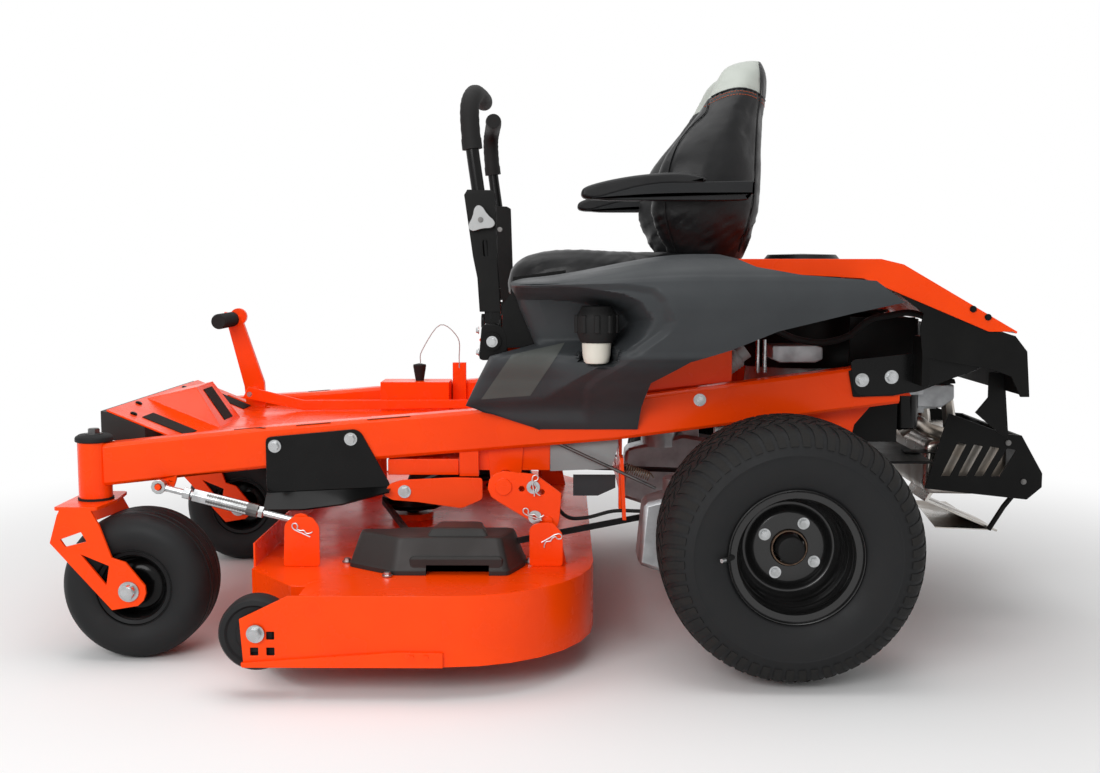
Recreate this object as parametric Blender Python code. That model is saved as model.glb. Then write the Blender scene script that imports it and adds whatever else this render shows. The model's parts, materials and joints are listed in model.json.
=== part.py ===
"""A zero turn mower, modelled in metres with +Z up.

Lengths run along X from the rear axle (front is -X), widths along Y from the centre
plane (the rider's left is -Y), heights along Z from the ground. One empty then moves
the whole machine so that its bounding box stands centred on the origin.
"""

import math

import bmesh
import bpy
from mathutils import Matrix, Vector

GAP = 0.0003

# Wheels
WHEELBASE = 1.213
REAR_TYRE_RADIUS = 0.241
REAR_TYRE_WIDTH = 0.240
REAR_RIM_RADIUS = 0.103
REAR_RIM_WIDTH = 0.210
REAR_TRACK = 1.035
CASTER_TYRE_RADIUS = 0.140
CASTER_TYRE_WIDTH = 0.140
CASTER_RIM_RADIUS = 0.062
CASTER_TRACK = 0.790
CASTER_TRAIL = 0.086
FORK_REACH = 0.145
FLANGE_HEIGHT = 0.015
FLANGE_WALL = 0.005
REAR_RIM_DISH = 0.081
TYRE_WALL = 0.011
RIM_WALL = 0.007
WHEEL_FACETS = 24
CASTER_FACETS = 16

# Caster forks and their pivot tubes
FORK_PLATE = 0.007
FORK_SIDE_CLEARANCE = 0.006
FORK_TOP_CLEARANCE = 0.012
PIVOT_TUBE_RADIUS = 0.031
PIVOT_TUBE_HEIGHT = 0.110
PIVOT_SHAFT_RADIUS = 0.013
CASTER_AXLE_RADIUS = 0.008
BEARING_GAP = 0.001

# Frame
RAIL_WIDTH = 0.050
RAIL_HEIGHT = 0.080
RAIL_OUTER_Y = 0.360
RAIL_FRONT_SLOPE = 0.0824
RAIL_REAR_SLOPE = 0.1320
RAIL_BEND_X = -0.310
RAIL_REAR_X = 0.240
RAIL_SPLAY_X = -0.985
SHEET = 0.004
CROSS_TUBE = 0.050
CROSS_TUBE_LEAD = 0.042

# Footwell
FLOOR_HEIGHT = 0.397
FLOOR_REAR_X = -0.560
RAMP_FOOT_X = -1.150
RAMP_TOP_X = -1.305
RAMP_RISE = 0.064
HUMP_HALF_WIDTH = 0.085
HUMP_RISE = 0.098

# Cutting deck
DECK_HALF_WIDTH = 0.660
DECK_FRONT_X = -0.985
DECK_REAR_X = -0.347
DECK_BOTTOM = 0.057
DECK_TOP = 0.182
BLADE_RADIUS = 0.220
SPINDLE_SPACING = 0.428
SPINDLE_X = -0.615
CENTRE_SPINDLE_X = -0.740
COVER_X = -0.640
PULLEY_RADIUS = 0.068
SCALP_WHEEL_RADIUS = 0.065
SCALP_WHEEL_WIDTH = 0.046
SCALP_AXLE_END = 0.004
CHUTE_REACH = 0.230
SCALP_X = -0.937
SCALP_Z = 0.111
BLADE_Z = 0.084
BELT_Z = 0.222
BELT_DEPTH = 0.010
BELT_SLACK = 0.001
CLUTCH_Z = 0.272

# Deck lift
LIFT_SHAFT_X = -0.517
LIFT_SHAFT_Z = 0.330
LIFT_SHAFT_RADIUS = 0.016
LIFT_CRANK = 0.085
LIFT_DROP = 0.064
LIFT_PLATE_Y = 0.425
LINK_Y = 0.432
LINK_FRONT_X = -1.165
LINK_FRONT_Z = 0.330
LINK_REAR_X = -0.897
LINK_REAR_Z = 0.262
LINK_RADIUS = 0.008
LINK_EYE_HALF = 0.008
PIVOT_GAP = 0.0006
PEDAL_REACH = 0.057
PEDAL_DROP = 0.052
PEDAL_LUG_HALF = 0.020
PEDAL_LINK_RISE = 0.094
PEDAL_LINK_Y = 0.201
PEDAL_Y = 0.270
PIN_X = -0.752
PIN_Y = 0.265
PIN_RADIUS = 0.006
LANYARD_RADIUS = 0.0012

# Levers, seat and body
LEVER_Y = 0.355
LEVER_PIVOT_X = -0.540
LEVER_PIVOT_Z = 0.600
LEVER_TUBE = 0.0125
LEVER_BLOCK = 0.040
LEVER_SHAFT_RADIUS = 0.011
LAP_PIN_RISE = 0.040
LAP_PIN_RADIUS = 0.005
GRIP_FROM_Z = 0.968
GRIP_RADIUS = 0.018
SEAT_HALF_WIDTH = 0.255
SEAT_HINGE_X = -0.470
SEAT_HINGE_Z = 0.668
SEAT_DECK_Z = 0.650
SEAT_DECK_HALF = 0.330
SEAT_BACK_Z = 0.768
ARMREST_X = -0.045
ARMREST_Z = 0.885
ARMREST_WIDTH = 0.056
FENDER_OUTER_Y = 0.580
FENDER_WALL = 0.004
POCKET_DEPTH = 0.132
CAP_X = -0.345
CAP_Y = 0.495
CAP_RADIUS = 0.040
CAP_BASE_Z = 0.606
NECK_RADIUS = 0.025

# Engine bay
ENGINE_X = 0.115
ENGINE_PLATE_Z = 0.352
ENGINE_PLATE_WALL = 0.005
MUFFLER_RADIUS = 0.052
GUARD_REAR_X = 0.584
TRANSAXLE_Y = 0.347
TRANSAXLE_WIDTH = 0.090
ENGINE_PLATE_REAR_X = 0.330
SHROUD_Z = 0.530
OIL_FILTER_TOP = 0.480
MUFFLER_X = 0.425
MUFFLER_Z = 0.320
MUFFLER_GUARD_HALF = 0.190
GUARD_HALF_WIDTH = 0.430

ORANGE = ((1.0, 0.08, 0.0), 0.25, 0.0)
BLACK_STEEL = ((0.012, 0.012, 0.012), 0.35, 0.0)
DARK_PLASTIC = ((0.035, 0.038, 0.042), 0.5, 0.0)
RUBBER = ((0.016, 0.016, 0.017), 0.8, 0.0)
VINYL = ((0.010, 0.010, 0.011), 0.45, 0.0)
ZINC = ((0.62, 0.63, 0.64), 0.32, 1.0)
ALUMINIUM = ((0.55, 0.56, 0.57), 0.45, 1.0)
NATURAL_PLASTIC = ((0.75, 0.74, 0.68), 0.5, 0.0)

CASTER_AXLE_X = -WHEELBASE
CASTER_PIVOT_X = CASTER_AXLE_X - CASTER_TRAIL
PEDAL_X = CASTER_AXLE_X - CROSS_TUBE_LEAD + CROSS_TUBE + PEDAL_REACH
PEDAL_Z = FLOOR_HEIGHT - PEDAL_DROP
FORK_TOP = 2 * CASTER_TYRE_RADIUS + FORK_TOP_CLEARANCE + FORK_PLATE
PIVOT_TUBE_Z = FORK_TOP + BEARING_GAP
PIVOT_TUBE_TOP = PIVOT_TUBE_Z + PIVOT_TUBE_HEIGHT
FORK_HALF = CASTER_TYRE_WIDTH / 2 + FORK_SIDE_CLEARANCE
CASTER_Y = CASTER_TRACK / 2
REAR_Y = REAR_TRACK / 2
RAIL_INNER_Y = RAIL_OUTER_Y - RAIL_WIDTH
RAIL_FRONT_X = CASTER_PIVOT_X + 0.8 * PIVOT_TUBE_RADIUS
FRONT_X = CASTER_AXLE_X - FORK_REACH
ENGINE_BASE_Z = ENGINE_PLATE_Z + ENGINE_PLATE_WALL + GAP
LAP_PIN_Z = LEVER_PIVOT_Z + LAP_PIN_RISE
WIDEST_LEFT = DECK_HALF_WIDTH + SCALP_AXLE_END
WIDEST_RIGHT = DECK_HALF_WIDTH + CHUTE_REACH
SIDES = (("left", -1), ("right", 1))

for old in list(bpy.data.objects):
    bpy.data.objects.remove(old, do_unlink=True)

root = bpy.data.objects.new("mower", None)
root.location = (-(FRONT_X + GUARD_REAR_X) / 2, -(WIDEST_RIGHT - WIDEST_LEFT) / 2, 0)
bpy.context.collection.objects.link(root)


def rail_top(x):
    """Height of the frame rail's top edge."""
    front_z = PIVOT_TUBE_TOP - 0.002
    bend_z = front_z + RAIL_FRONT_SLOPE * (RAIL_BEND_X - RAIL_FRONT_X)
    if x < RAIL_BEND_X:
        return front_z + RAIL_FRONT_SLOPE * (x - RAIL_FRONT_X)
    return bend_z + RAIL_REAR_SLOPE * (x - RAIL_BEND_X)


def solid(points_of_rings, closed_round=True, caps=True):
    """A mesh skinned over rings of equal length; capped rings make a closed body."""
    mesh = bmesh.new()
    rings = [[mesh.verts.new(p) for p in ring] for ring in points_of_rings]
    count = len(rings[0])
    for first, second in zip(rings, rings[1:] + ([] if caps else rings[:1])):
        for i in range(count if closed_round else count - 1):
            j = (i + 1) % count
            mesh.faces.new((first[i], first[j], second[j], second[i]))
    if caps:
        mesh.faces.new(rings[0])
        mesh.faces.new(rings[-1])
    bmesh.ops.recalc_face_normals(mesh, faces=mesh.faces)
    return mesh


def to_space(axis, a, b, along):
    """A point of a flat drawing set at a distance along its axis."""
    return {"X": (along, a, b), "Y": (a, along, b), "Z": (a, b, along)}[axis]


def prism(outline, low, high, axis="Y", holes=()):
    """A flat outline, with any holes, pushed from low to high along an axis."""
    mesh = bmesh.new()
    for loop in (outline, *holes):
        verts = [mesh.verts.new(to_space(axis, a, b, low)) for a, b in loop]
        for one, two in zip(verts, verts[1:] + verts[:1]):
            mesh.edges.new((one, two))
    bmesh.ops.triangle_fill(mesh, edges=mesh.edges[:], use_beauty=True)
    grown = bmesh.ops.extrude_face_region(mesh, geom=mesh.faces[:])
    moved = [item for item in grown["geom"] if isinstance(item, bmesh.types.BMVert)]
    bmesh.ops.translate(mesh, verts=moved, vec=to_space(axis, 0, 0, high - low))
    bmesh.ops.recalc_face_normals(mesh, faces=mesh.faces)
    return mesh


def box(x, y, z):
    """A box from three (low, high) pairs."""
    return prism([(x[0], z[0]), (x[1], z[0]), (x[1], z[1]), (x[0], z[1])], y[0], y[1])


def revolve(profile, centre, axis="Y", segments=32):
    """A (radius, along) profile spun about an axis; ends at radius 0 become points."""
    mesh = bmesh.new()
    rings = []
    for radius, along in profile:
        steps = 1 if radius == 0 else segments
        turns = [2 * math.pi * i / segments for i in range(steps)]
        places = [to_space(axis, radius * math.cos(t), radius * math.sin(t), along) for t in turns]
        rings.append([mesh.verts.new(Vector(p) + Vector(centre)) for p in places])
    touches_axis = profile[0][0] == 0
    for first, second in zip(rings, rings[1:] + ([] if touches_axis else rings[:1])):
        for i in range(segments):
            j = (i + 1) % segments
            corners = [first[i % len(first)], first[j % len(first)]]
            corners += [second[j % len(second)], second[i % len(second)]]
            mesh.faces.new(list(dict.fromkeys(corners)))
    bmesh.ops.recalc_face_normals(mesh, faces=mesh.faces)
    return mesh


def cylinder(centre, radius, low, high, axis="Y", segments=14):
    """A plain cylinder between two distances along its axis, measured from its centre."""
    return revolve([(0, low), (radius, low), (radius, high), (0, high)], centre, axis, segments)


def circle(centre, radius, count=16):
    """Points round a circle on a flat drawing."""
    turns = [2 * math.pi * i / count for i in range(count)]
    return [(centre[0] + radius * math.cos(t), centre[1] + radius * math.sin(t)) for t in turns]


def arc(centre, radius, start, end, count):
    """Points along an arc, from start to end in degrees."""
    turns = [math.radians(start + (end - start) * i / count) for i in range(count + 1)]
    return [(centre[0] + radius * math.cos(t), centre[1] + radius * math.sin(t)) for t in turns]


def rounded(outline, radius, steps=3):
    """An outline with every corner rounded by the same radius."""
    made = []
    for i, corner in enumerate(outline):
        here = Vector(corner)
        before = Vector(outline[i - 1]) - here
        after = Vector(outline[(i + 1) % len(outline)]) - here
        reach = min(radius, 0.45 * before.length, 0.45 * after.length)
        start = here + before.normalized() * reach
        end = here + after.normalized() * reach
        for k in range(steps + 1):
            t = k / steps
            made.append(tuple(start * (1 - t) ** 2 + here * (2 * t * (1 - t)) + end * t * t))
    return made


def smooth_route(points, per_span=6):
    """Points read from a smooth curve through a route's points."""
    route = [Vector(p) for p in points]
    route = [2 * route[0] - route[1], *route, 2 * route[-1] - route[-2]]
    made = []
    for a, b, c, d in zip(route, route[1:], route[2:], route[3:]):
        for k in range(per_span):
            t = k / per_span
            bend = (2 * a - 5 * b + 4 * c - d) * t * t + (3 * b - a - 3 * c + d) * t ** 3
            made.append(0.5 * (2 * b + (c - a) * t + bend))
    return made + [route[-2]]


def pipe(points, radius, sides=8):
    """A round bar swept along a route with flat ends."""
    route = [Vector(p) for p in points]
    rings = []
    side = None
    for i, here in enumerate(route):
        ahead = (route[min(i + 1, len(route) - 1)] - route[max(i - 1, 0)]).normalized()
        if side is None:
            side = ahead.orthogonal().normalized()
        side = (side - ahead * side.dot(ahead)).normalized()
        other = ahead.cross(side)
        turns = [2 * math.pi * k / sides for k in range(sides)]
        rings.append([here + radius * (math.cos(t) * side + math.sin(t) * other) for t in turns])
    return solid(rings)


def boolean(first, second, operation, folds=False):
    """Join or cut two meshes with the exact solver; folds is for a surface that touches itself."""
    pair = []
    for mesh in (first, second):
        data = bpy.data.meshes.new("helper")
        mesh.to_mesh(data)
        mesh.free()
        pair.append(bpy.data.objects.new("helper", data))
        bpy.context.collection.objects.link(pair[-1])
    step = pair[0].modifiers.new("step", "BOOLEAN")
    step.operation = operation
    step.object = pair[1]
    step.use_self = folds
    graph = bpy.context.evaluated_depsgraph_get()
    made = bmesh.new()
    made.from_mesh(pair[0].evaluated_get(graph).to_mesh())
    for helper in pair:
        bpy.data.objects.remove(helper, do_unlink=True)
    bmesh.ops.remove_doubles(made, verts=made.verts, dist=1e-6)
    return made


def join(first, *others):
    for other in others:
        first = boolean(first, other, "UNION")
    return first


def cut(first, *others):
    for other in others:
        first = boolean(first, other, "DIFFERENCE")
    return first


def mirrored(mesh, side):
    """The left-hand mesh, or its mirror image on the right."""
    if side > 0:
        bmesh.ops.scale(mesh, vec=(1, -1, 1), verts=mesh.verts)
        bmesh.ops.reverse_faces(mesh, faces=mesh.faces)
    return mesh


def node(name, mesh, look, pivot=(0, 0, 0)):
    """A named sub-part with its own material and its origin on its pivot."""
    colour, roughness, metallic = look
    bmesh.ops.translate(mesh, verts=mesh.verts, vec=-Vector(pivot))
    data = bpy.data.meshes.new(name)
    mesh.to_mesh(data)
    mesh.free()
    finish = bpy.data.materials.new(name)
    finish.use_nodes = True
    shader = finish.node_tree.nodes["Principled BSDF"]
    shader.inputs["Base Color"].default_value = (*colour, 1)
    shader.inputs["Roughness"].default_value = roughness
    shader.inputs["Metallic"].default_value = metallic
    data.materials.append(finish)
    made = bpy.data.objects.new(name, data)
    made.location = pivot
    made.parent = root
    bpy.context.collection.objects.link(made)
    return made


def rail_centre(x):
    """Distance of the rail's middle from the centre plane; it splays out to the pivot tube."""
    straight = RAIL_OUTER_Y - RAIL_WIDTH / 2
    share = max(0, (RAIL_SPLAY_X - x) / (RAIL_SPLAY_X - RAIL_FRONT_X))
    return straight + share * (CASTER_Y - straight)


def tyre(radius, width, rim_radius, rim_width, centre, segments):
    """A hollow tyre, open to its rim, with a flat tread and swelling sidewalls."""
    half = width / 2
    bead = rim_radius + GAP
    seat = rim_width / 2 - FLANGE_WALL - GAP
    flange = rim_radius + FLANGE_HEIGHT + GAP
    tread = 0.74 * half
    belly = rim_radius + 0.52 * (radius - rim_radius)
    crown = 0.012 * radius
    side = [(bead, seat), (flange, seat), (belly, half), (radius - 3 * crown, 0.90 * half),
            (radius, 0.7 * tread)]
    inside = [(radius - crown - TYRE_WALL, 0.8 * tread), (belly, half - TYRE_WALL), (bead, seat - TYRE_WALL)]
    outer = side + [(r, -y) for r, y in reversed(side)]
    inner = [(r, -y) for r, y in reversed(inside)] + inside
    return revolve(outer + inner, centre, "Y", segments)


def rear_rim(centre, side):
    """A pressed steel wheel: flanged barrel, dished disc, raised hub and axle stub."""
    rim = REAR_RIM_RADIUS
    half = REAR_RIM_WIDTH / 2
    lip = rim + FLANGE_HEIGHT
    well = rim - RIM_WALL
    disc = half - REAR_RIM_DISH
    face = [(0, disc + 0.028), (0.032, disc + 0.028), (0.034, disc)]
    face += [(0.076, disc - 0.010), (well, disc + 0.018), (well, half - 0.010)]
    bead = [(lip, half), (lip, half - FLANGE_WALL), (rim, half - FLANGE_WALL)]
    back = [(well, 0.010 - half), (well, disc + 0.008), (0.076, disc - 0.017)]
    back += [(0.030, disc - 0.007), (0.030, -half), (0, -half)]
    profile = face + bead + [(r, -y) for r, y in reversed(bead)] + back
    return revolve([(r, side * y) for r, y in profile], centre, "Y", WHEEL_FACETS)


def caster_rim(centre):
    """A small flanged wheel with a long hub bored for its axle."""
    rim = CASTER_RIM_RADIUS
    half = CASTER_TYRE_WIDTH / 2 - 0.010
    lip = rim + FLANGE_HEIGHT - 0.004
    well = rim - RIM_WALL
    bore = CASTER_AXLE_RADIUS + BEARING_GAP
    hub = FORK_HALF - BEARING_GAP
    face = [(bore, hub), (0.020, hub), (0.022, 0.014), (well, 0.022), (well, half - 0.008)]
    face += [(lip, half), (lip, half - FLANGE_WALL), (rim, half - FLANGE_WALL)]
    back = [(r, -y) for r, y in reversed(face[4:])] + [(well, 0.014), (0.020, 0.006), (0.020, -hub),
                                                       (bore, -hub)]
    return revolve(face + back, centre, "Y", CASTER_FACETS)


def fork_leg(low, high):
    """One bent arm of a caster fork, with its two weight-saving windows."""
    x, z = CASTER_AXLE_X, CASTER_TYRE_RADIUS
    end = arc((x, z), 0.032, -60, 20, 3)
    outline = [(x - FORK_REACH, z + 0.091), (x - 0.033, z - 0.036), *end, (x - 0.005, z + 0.055)]
    outline += [(x - 0.030, z + 0.063), (x - 0.052, z + 0.125), (x - 0.070, FORK_TOP)]
    outline += [(x - 0.122, FORK_TOP), (x - 0.130, FORK_TOP - 0.016)]
    big = [(x - 0.125, z + 0.098), (x - 0.116, z + 0.084), (x - 0.076, z + 0.094), (x - 0.086, z + 0.112)]
    small = [(x - 0.088, z + 0.070), (x - 0.042, z + 0.012), (x - 0.036, z + 0.048)]
    return prism(outline, low, high, "Y", (big, small))


def make_casters():
    for name, side in SIDES:
        y = side * CASTER_Y
        axle = (CASTER_AXLE_X, y, CASTER_TYRE_RADIUS)
        outer = FORK_HALF + FORK_PLATE
        top = (FORK_TOP - FORK_PLATE, FORK_TOP)
        plan = rounded([(-0.135, -outer), (-0.055, -outer), (-0.045, 0), (-0.055, outer), (-0.135, outer)],
                       0.004, 1)
        fork = prism([(CASTER_AXLE_X + a, y + b) for a, b in plan], *top, "Z")
        fork = join(fork, fork_leg(y - outer, y - FORK_HALF), fork_leg(y + FORK_HALF, y + outer))
        cap = PIVOT_TUBE_TOP + BEARING_GAP
        shaft = [(0, FORK_TOP - 0.003), (PIVOT_SHAFT_RADIUS, FORK_TOP - 0.003), (PIVOT_SHAFT_RADIUS, cap)]
        shaft += [(PIVOT_TUBE_RADIUS + 0.003, cap), (PIVOT_TUBE_RADIUS + 0.003, cap + 0.008)]
        shaft += [(PIVOT_TUBE_RADIUS - 0.004, cap + 0.012), (0.008, cap + 0.012), (0.008, cap + 0.018),
                  (0, cap + 0.018)]
        fork = join(fork, revolve(shaft, (CASTER_PIVOT_X, y, 0), "Z", 10))
        bolt = outer + 0.009
        pin = [(0, -bolt), (0.013, -bolt), (0.013, 0.001 - outer), (CASTER_AXLE_RADIUS, 0.001 - outer)]
        fork = join(fork, revolve(pin + [(r, -a) for r, a in reversed(pin)], axle, "Y", 8))
        node(f"caster_fork_{name}", fork, ORANGE, (CASTER_PIVOT_X, y, FORK_TOP))
        width = CASTER_TYRE_WIDTH
        rubber = tyre(CASTER_TYRE_RADIUS, width, CASTER_RIM_RADIUS, width - 0.020, axle, CASTER_FACETS)
        node(f"caster_tyre_{name}", rubber, RUBBER, axle)
        node(f"caster_rim_{name}", caster_rim(axle), BLACK_STEEL, axle)


def make_drive_wheels():
    for name, side in SIDES:
        axle = (0, side * REAR_Y, REAR_TYRE_RADIUS)
        rubber = tyre(REAR_TYRE_RADIUS, REAR_TYRE_WIDTH, REAR_RIM_RADIUS, REAR_RIM_WIDTH, axle, WHEEL_FACETS)
        node(f"drive_tyre_{name}", rubber, RUBBER, axle)
        node(f"drive_rim_{name}", rear_rim(axle, side), BLACK_STEEL, axle)


def frame_rail(side):
    """A square-tube rail that bends up at the rear and splays out to the caster pivot tube."""
    rings = []
    for x in (RAIL_FRONT_X, RAIL_SPLAY_X, RAIL_BEND_X, RAIL_REAR_X):
        y = side * rail_centre(x)
        half = RAIL_WIDTH / 2
        top = rail_top(x)
        low = top - RAIL_HEIGHT
        flat = [(y - half, low), (y + half, low), (y + half, top), (y - half, top)]
        rings.append([(x, a, b) for a, b in rounded(flat, 0.006, 1)])
    tube = cylinder((CASTER_PIVOT_X, side * CASTER_Y, 0), PIVOT_TUBE_RADIUS, PIVOT_TUBE_Z, PIVOT_TUBE_TOP,
                    "Z", 14)
    bore = PIVOT_SHAFT_RADIUS + BEARING_GAP
    through = cylinder((CASTER_PIVOT_X, side * CASTER_Y, 0), bore, FORK_TOP - 0.02, PIVOT_TUBE_TOP + 0.02,
                       "Z", 10)
    rail = join(solid(rings), tube, *rail_brackets(side))
    shaft = cylinder((LIFT_SHAFT_X, 0, LIFT_SHAFT_Z), LIFT_SHAFT_RADIUS + BEARING_GAP, -0.5, 0.5, "Y", 14)
    return cut(rail, through, shaft)


def rail_brackets(side):
    """The lift-shaft hanger and the front link bracket with its pin, below a rail."""
    x, z = LIFT_SHAFT_X, LIFT_SHAFT_Z
    top = rail_top(x) - RAIL_HEIGHT + 0.012
    hanger = [(x - 0.036, top), *arc((x, z), 0.030, 180, 360, 6), (x + 0.036, top)]
    middle = side * (RAIL_OUTER_Y - RAIL_WIDTH / 2)
    plate = prism(hanger, middle - 0.004, middle + 0.004)
    x, z = LINK_FRONT_X, LINK_FRONT_Z
    top = rail_top(x) - RAIL_HEIGHT + 0.010
    outer = rail_centre(x) + RAIL_WIDTH / 2
    drop = [(x - 0.022, top), *arc((x, z), 0.018, 180, 360, 4), (x + 0.022, top)]
    ear = prism(drop, *sorted((side * (outer - 0.012), side * (outer - 0.005))))
    reach = sorted((side * (outer - 0.008), side * (LINK_Y + 0.012)))
    return plate, ear, cylinder((x, 0, z), 0.006, *reach, "Y", 8)


def make_frame():
    for name, side in SIDES:
        node(f"frame_rail_{name}", frame_rail(side), ORANGE)
    front = CASTER_AXLE_X - CROSS_TUBE_LEAD
    rear = front + CROSS_TUBE
    ends = [(x, rail_centre(x) - RAIL_WIDTH / 2 - GAP) for x in (front, rear)]
    plan = [(ends[0][0], -ends[0][1]), (ends[1][0], -ends[1][1]), ends[1], ends[0]]
    top = FLOOR_HEIGHT - SHEET - GAP
    tube = prism(plan, top - CROSS_TUBE, top, "Z")
    low, high = PEDAL_Z - PEDAL_LUG_HALF, PEDAL_Z + PEDAL_LUG_HALF
    start, end = rear - 0.004, PEDAL_X + 0.018
    plate = rounded([(start, low), (end, low), (end, high), (start, high)], 0.008, 2)
    lug = prism(plate, PEDAL_Y + 0.009, PEDAL_Y + 0.015)
    pin = cylinder((PEDAL_X, PEDAL_Y, PEDAL_Z), 0.007, -0.014, 0.012, "Y", 12)
    node("front_cross_tube", join(tube, lug, pin), ORANGE)
    inner = RAIL_INNER_Y - GAP
    floor = (ENGINE_PLATE_Z, ENGINE_PLATE_Z + ENGINE_PLATE_WALL)
    tray = box((0.02, ENGINE_PLATE_REAR_X), (-inner, inner), floor)
    for side in (-1, 1):
        wall = sorted((side * inner, side * (inner - 0.005)))
        end = ENGINE_PLATE_REAR_X
        ear = [(0.02, floor[0]), (end, floor[0]), (end, 0.40), (RAIL_REAR_X, rail_top(RAIL_REAR_X) - 0.01)]
        tray = join(tray, prism(ear + [(0.02, rail_top(0.02) - 0.01)], *wall))
    window = cylinder((ENGINE_X, 0, 0), 0.055, floor[0] - 0.01, floor[1] + 0.01, "Z", 18)
    node("engine_plate", cut(tray, window), ORANGE)


def make_footwell():
    inner = RAIL_INNER_Y - GAP
    low = FLOOR_HEIGHT - SHEET
    lift = (RAMP_TOP_X, FLOOR_HEIGHT + RAMP_RISE)
    rear = FLOOR_REAR_X
    sheet = [lift, (RAMP_FOOT_X, FLOOR_HEIGHT), (rear - SHEET, FLOOR_HEIGHT),
             (rear - SHEET, FLOOR_HEIGHT + 0.055)]
    sheet += [(rear, FLOOR_HEIGHT + 0.055), (rear, low), (RAMP_FOOT_X, low), (lift[0], lift[1] - SHEET)]
    pan = prism(sheet, -inner, inner)
    crest = FLOOR_HEIGHT + HUMP_RISE
    foot = [(lift[0] + 0.003, lift[1] - 0.003), (RAMP_FOOT_X + 0.015, crest),
            (RAMP_FOOT_X + 0.13, FLOOR_HEIGHT - 0.002)]
    foot += [(RAMP_FOOT_X, FLOOR_HEIGHT - 0.002)]
    hump = prism(foot, -HUMP_HALF_WIDTH, HUMP_HALF_WIDTH)
    slope = [v for v in hump.verts if v.co.z > crest - 0.001]
    for vert in slope:
        vert.co.y *= 0.62
    tower = box((-0.842, -0.678), (0.225, inner - 0.001), (low + 0.001, FLOOR_HEIGHT + 0.067))
    socket = cylinder((PIN_X, PIN_Y, 0), PIN_RADIUS + BEARING_GAP, FLOOR_HEIGHT + 0.012, FLOOR_HEIGHT + 0.1,
                      "Z", 12)
    hoop = prism([(-0.675, FLOOR_HEIGHT - 0.002), (-0.642, FLOOR_HEIGHT - 0.002), (-0.642, 0.505),
                  (-0.675, 0.505)], 0.296, inner - 0.001)
    slot = box((PEDAL_X - 0.075, PEDAL_X + 0.030), (PEDAL_Y - 0.012, PEDAL_Y + 0.012),
               (low - 0.02, FLOOR_HEIGHT + 0.05))
    way = box((LIFT_SHAFT_X - 0.13, LIFT_SHAFT_X), (PEDAL_LINK_Y - 0.010, PEDAL_LINK_Y + 0.018),
              (low - 0.02, FLOOR_HEIGHT + 0.1))
    pan = cut(join(pan, hump, tower, hoop), socket, slot, way)
    node("floor_pan", pan, ORANGE)
    under = [(lift[0] - 0.012, lift[1] - 0.060), (lift[0] + 0.075, lift[1] - 0.066)]
    drop = SHEET + 2 * GAP
    fall = RAMP_RISE / (RAMP_FOOT_X - lift[0])
    top = [(lift[0] + reach, lift[1] - drop - fall * reach) for reach in (0.075, 0)]
    housing = prism(under + top + [(lift[0] - 0.012, top[1][1] + 0.002)], -inner, inner)
    node("front_housing", housing, DARK_PLASTIC)
    for name, side in SIDES:
        face = [(-0.979, -0.020), (-0.790, -0.020), (-0.730, -0.125), (-0.742, -0.135), (-0.979, -0.135)]
        top = rail_top(-0.979)
        y = RAIL_OUTER_Y + GAP
        plate = prism([(a, top + b) for a, b in face], -y - 0.005, -y)
        fold = [(-y, top - 0.135), (-y - 0.005, top - 0.129), (-y - 0.040, top - 0.150),
                (-y - 0.040, top - 0.156)]
        plate = join(plate, prism(fold, -0.979, -0.775, "X"))
        node(f"side_step_{name}", mirrored(plate, side), BLACK_STEEL)


def inset(outline, distance):
    """An outline moved inwards by an even distance; it runs anticlockwise."""
    made = []
    for i, corner in enumerate(outline):
        here = Vector(corner)
        before = (here - Vector(outline[i - 1])).normalized()
        after = (Vector(outline[(i + 1) % len(outline)]) - here).normalized()
        normal = (Vector((-before.y, before.x)) + Vector((-after.y, after.x))).normalized()
        made.append(tuple(here + normal * distance / max(0.5, normal.dot(Vector((-after.y, after.x))))))
    return made


def deck_plan():
    """The deck seen from above, running anticlockwise from its front left corner."""
    half = DECK_HALF_WIDTH
    curve = 0.26
    rear = DECK_REAR_X
    sweep = arc((rear - curve, curve - half), curve, -90, 0, 7)
    notch = SCALP_WHEEL_WIDTH + 0.020
    left = [(DECK_FRONT_X, -0.470), (SCALP_X + 0.052, notch - half), (SCALP_X + 0.078, notch - half)]
    left += [(SCALP_X + 0.078, -half), *sweep]
    return left + [(x, -y) for x, y in reversed(left)]


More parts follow.
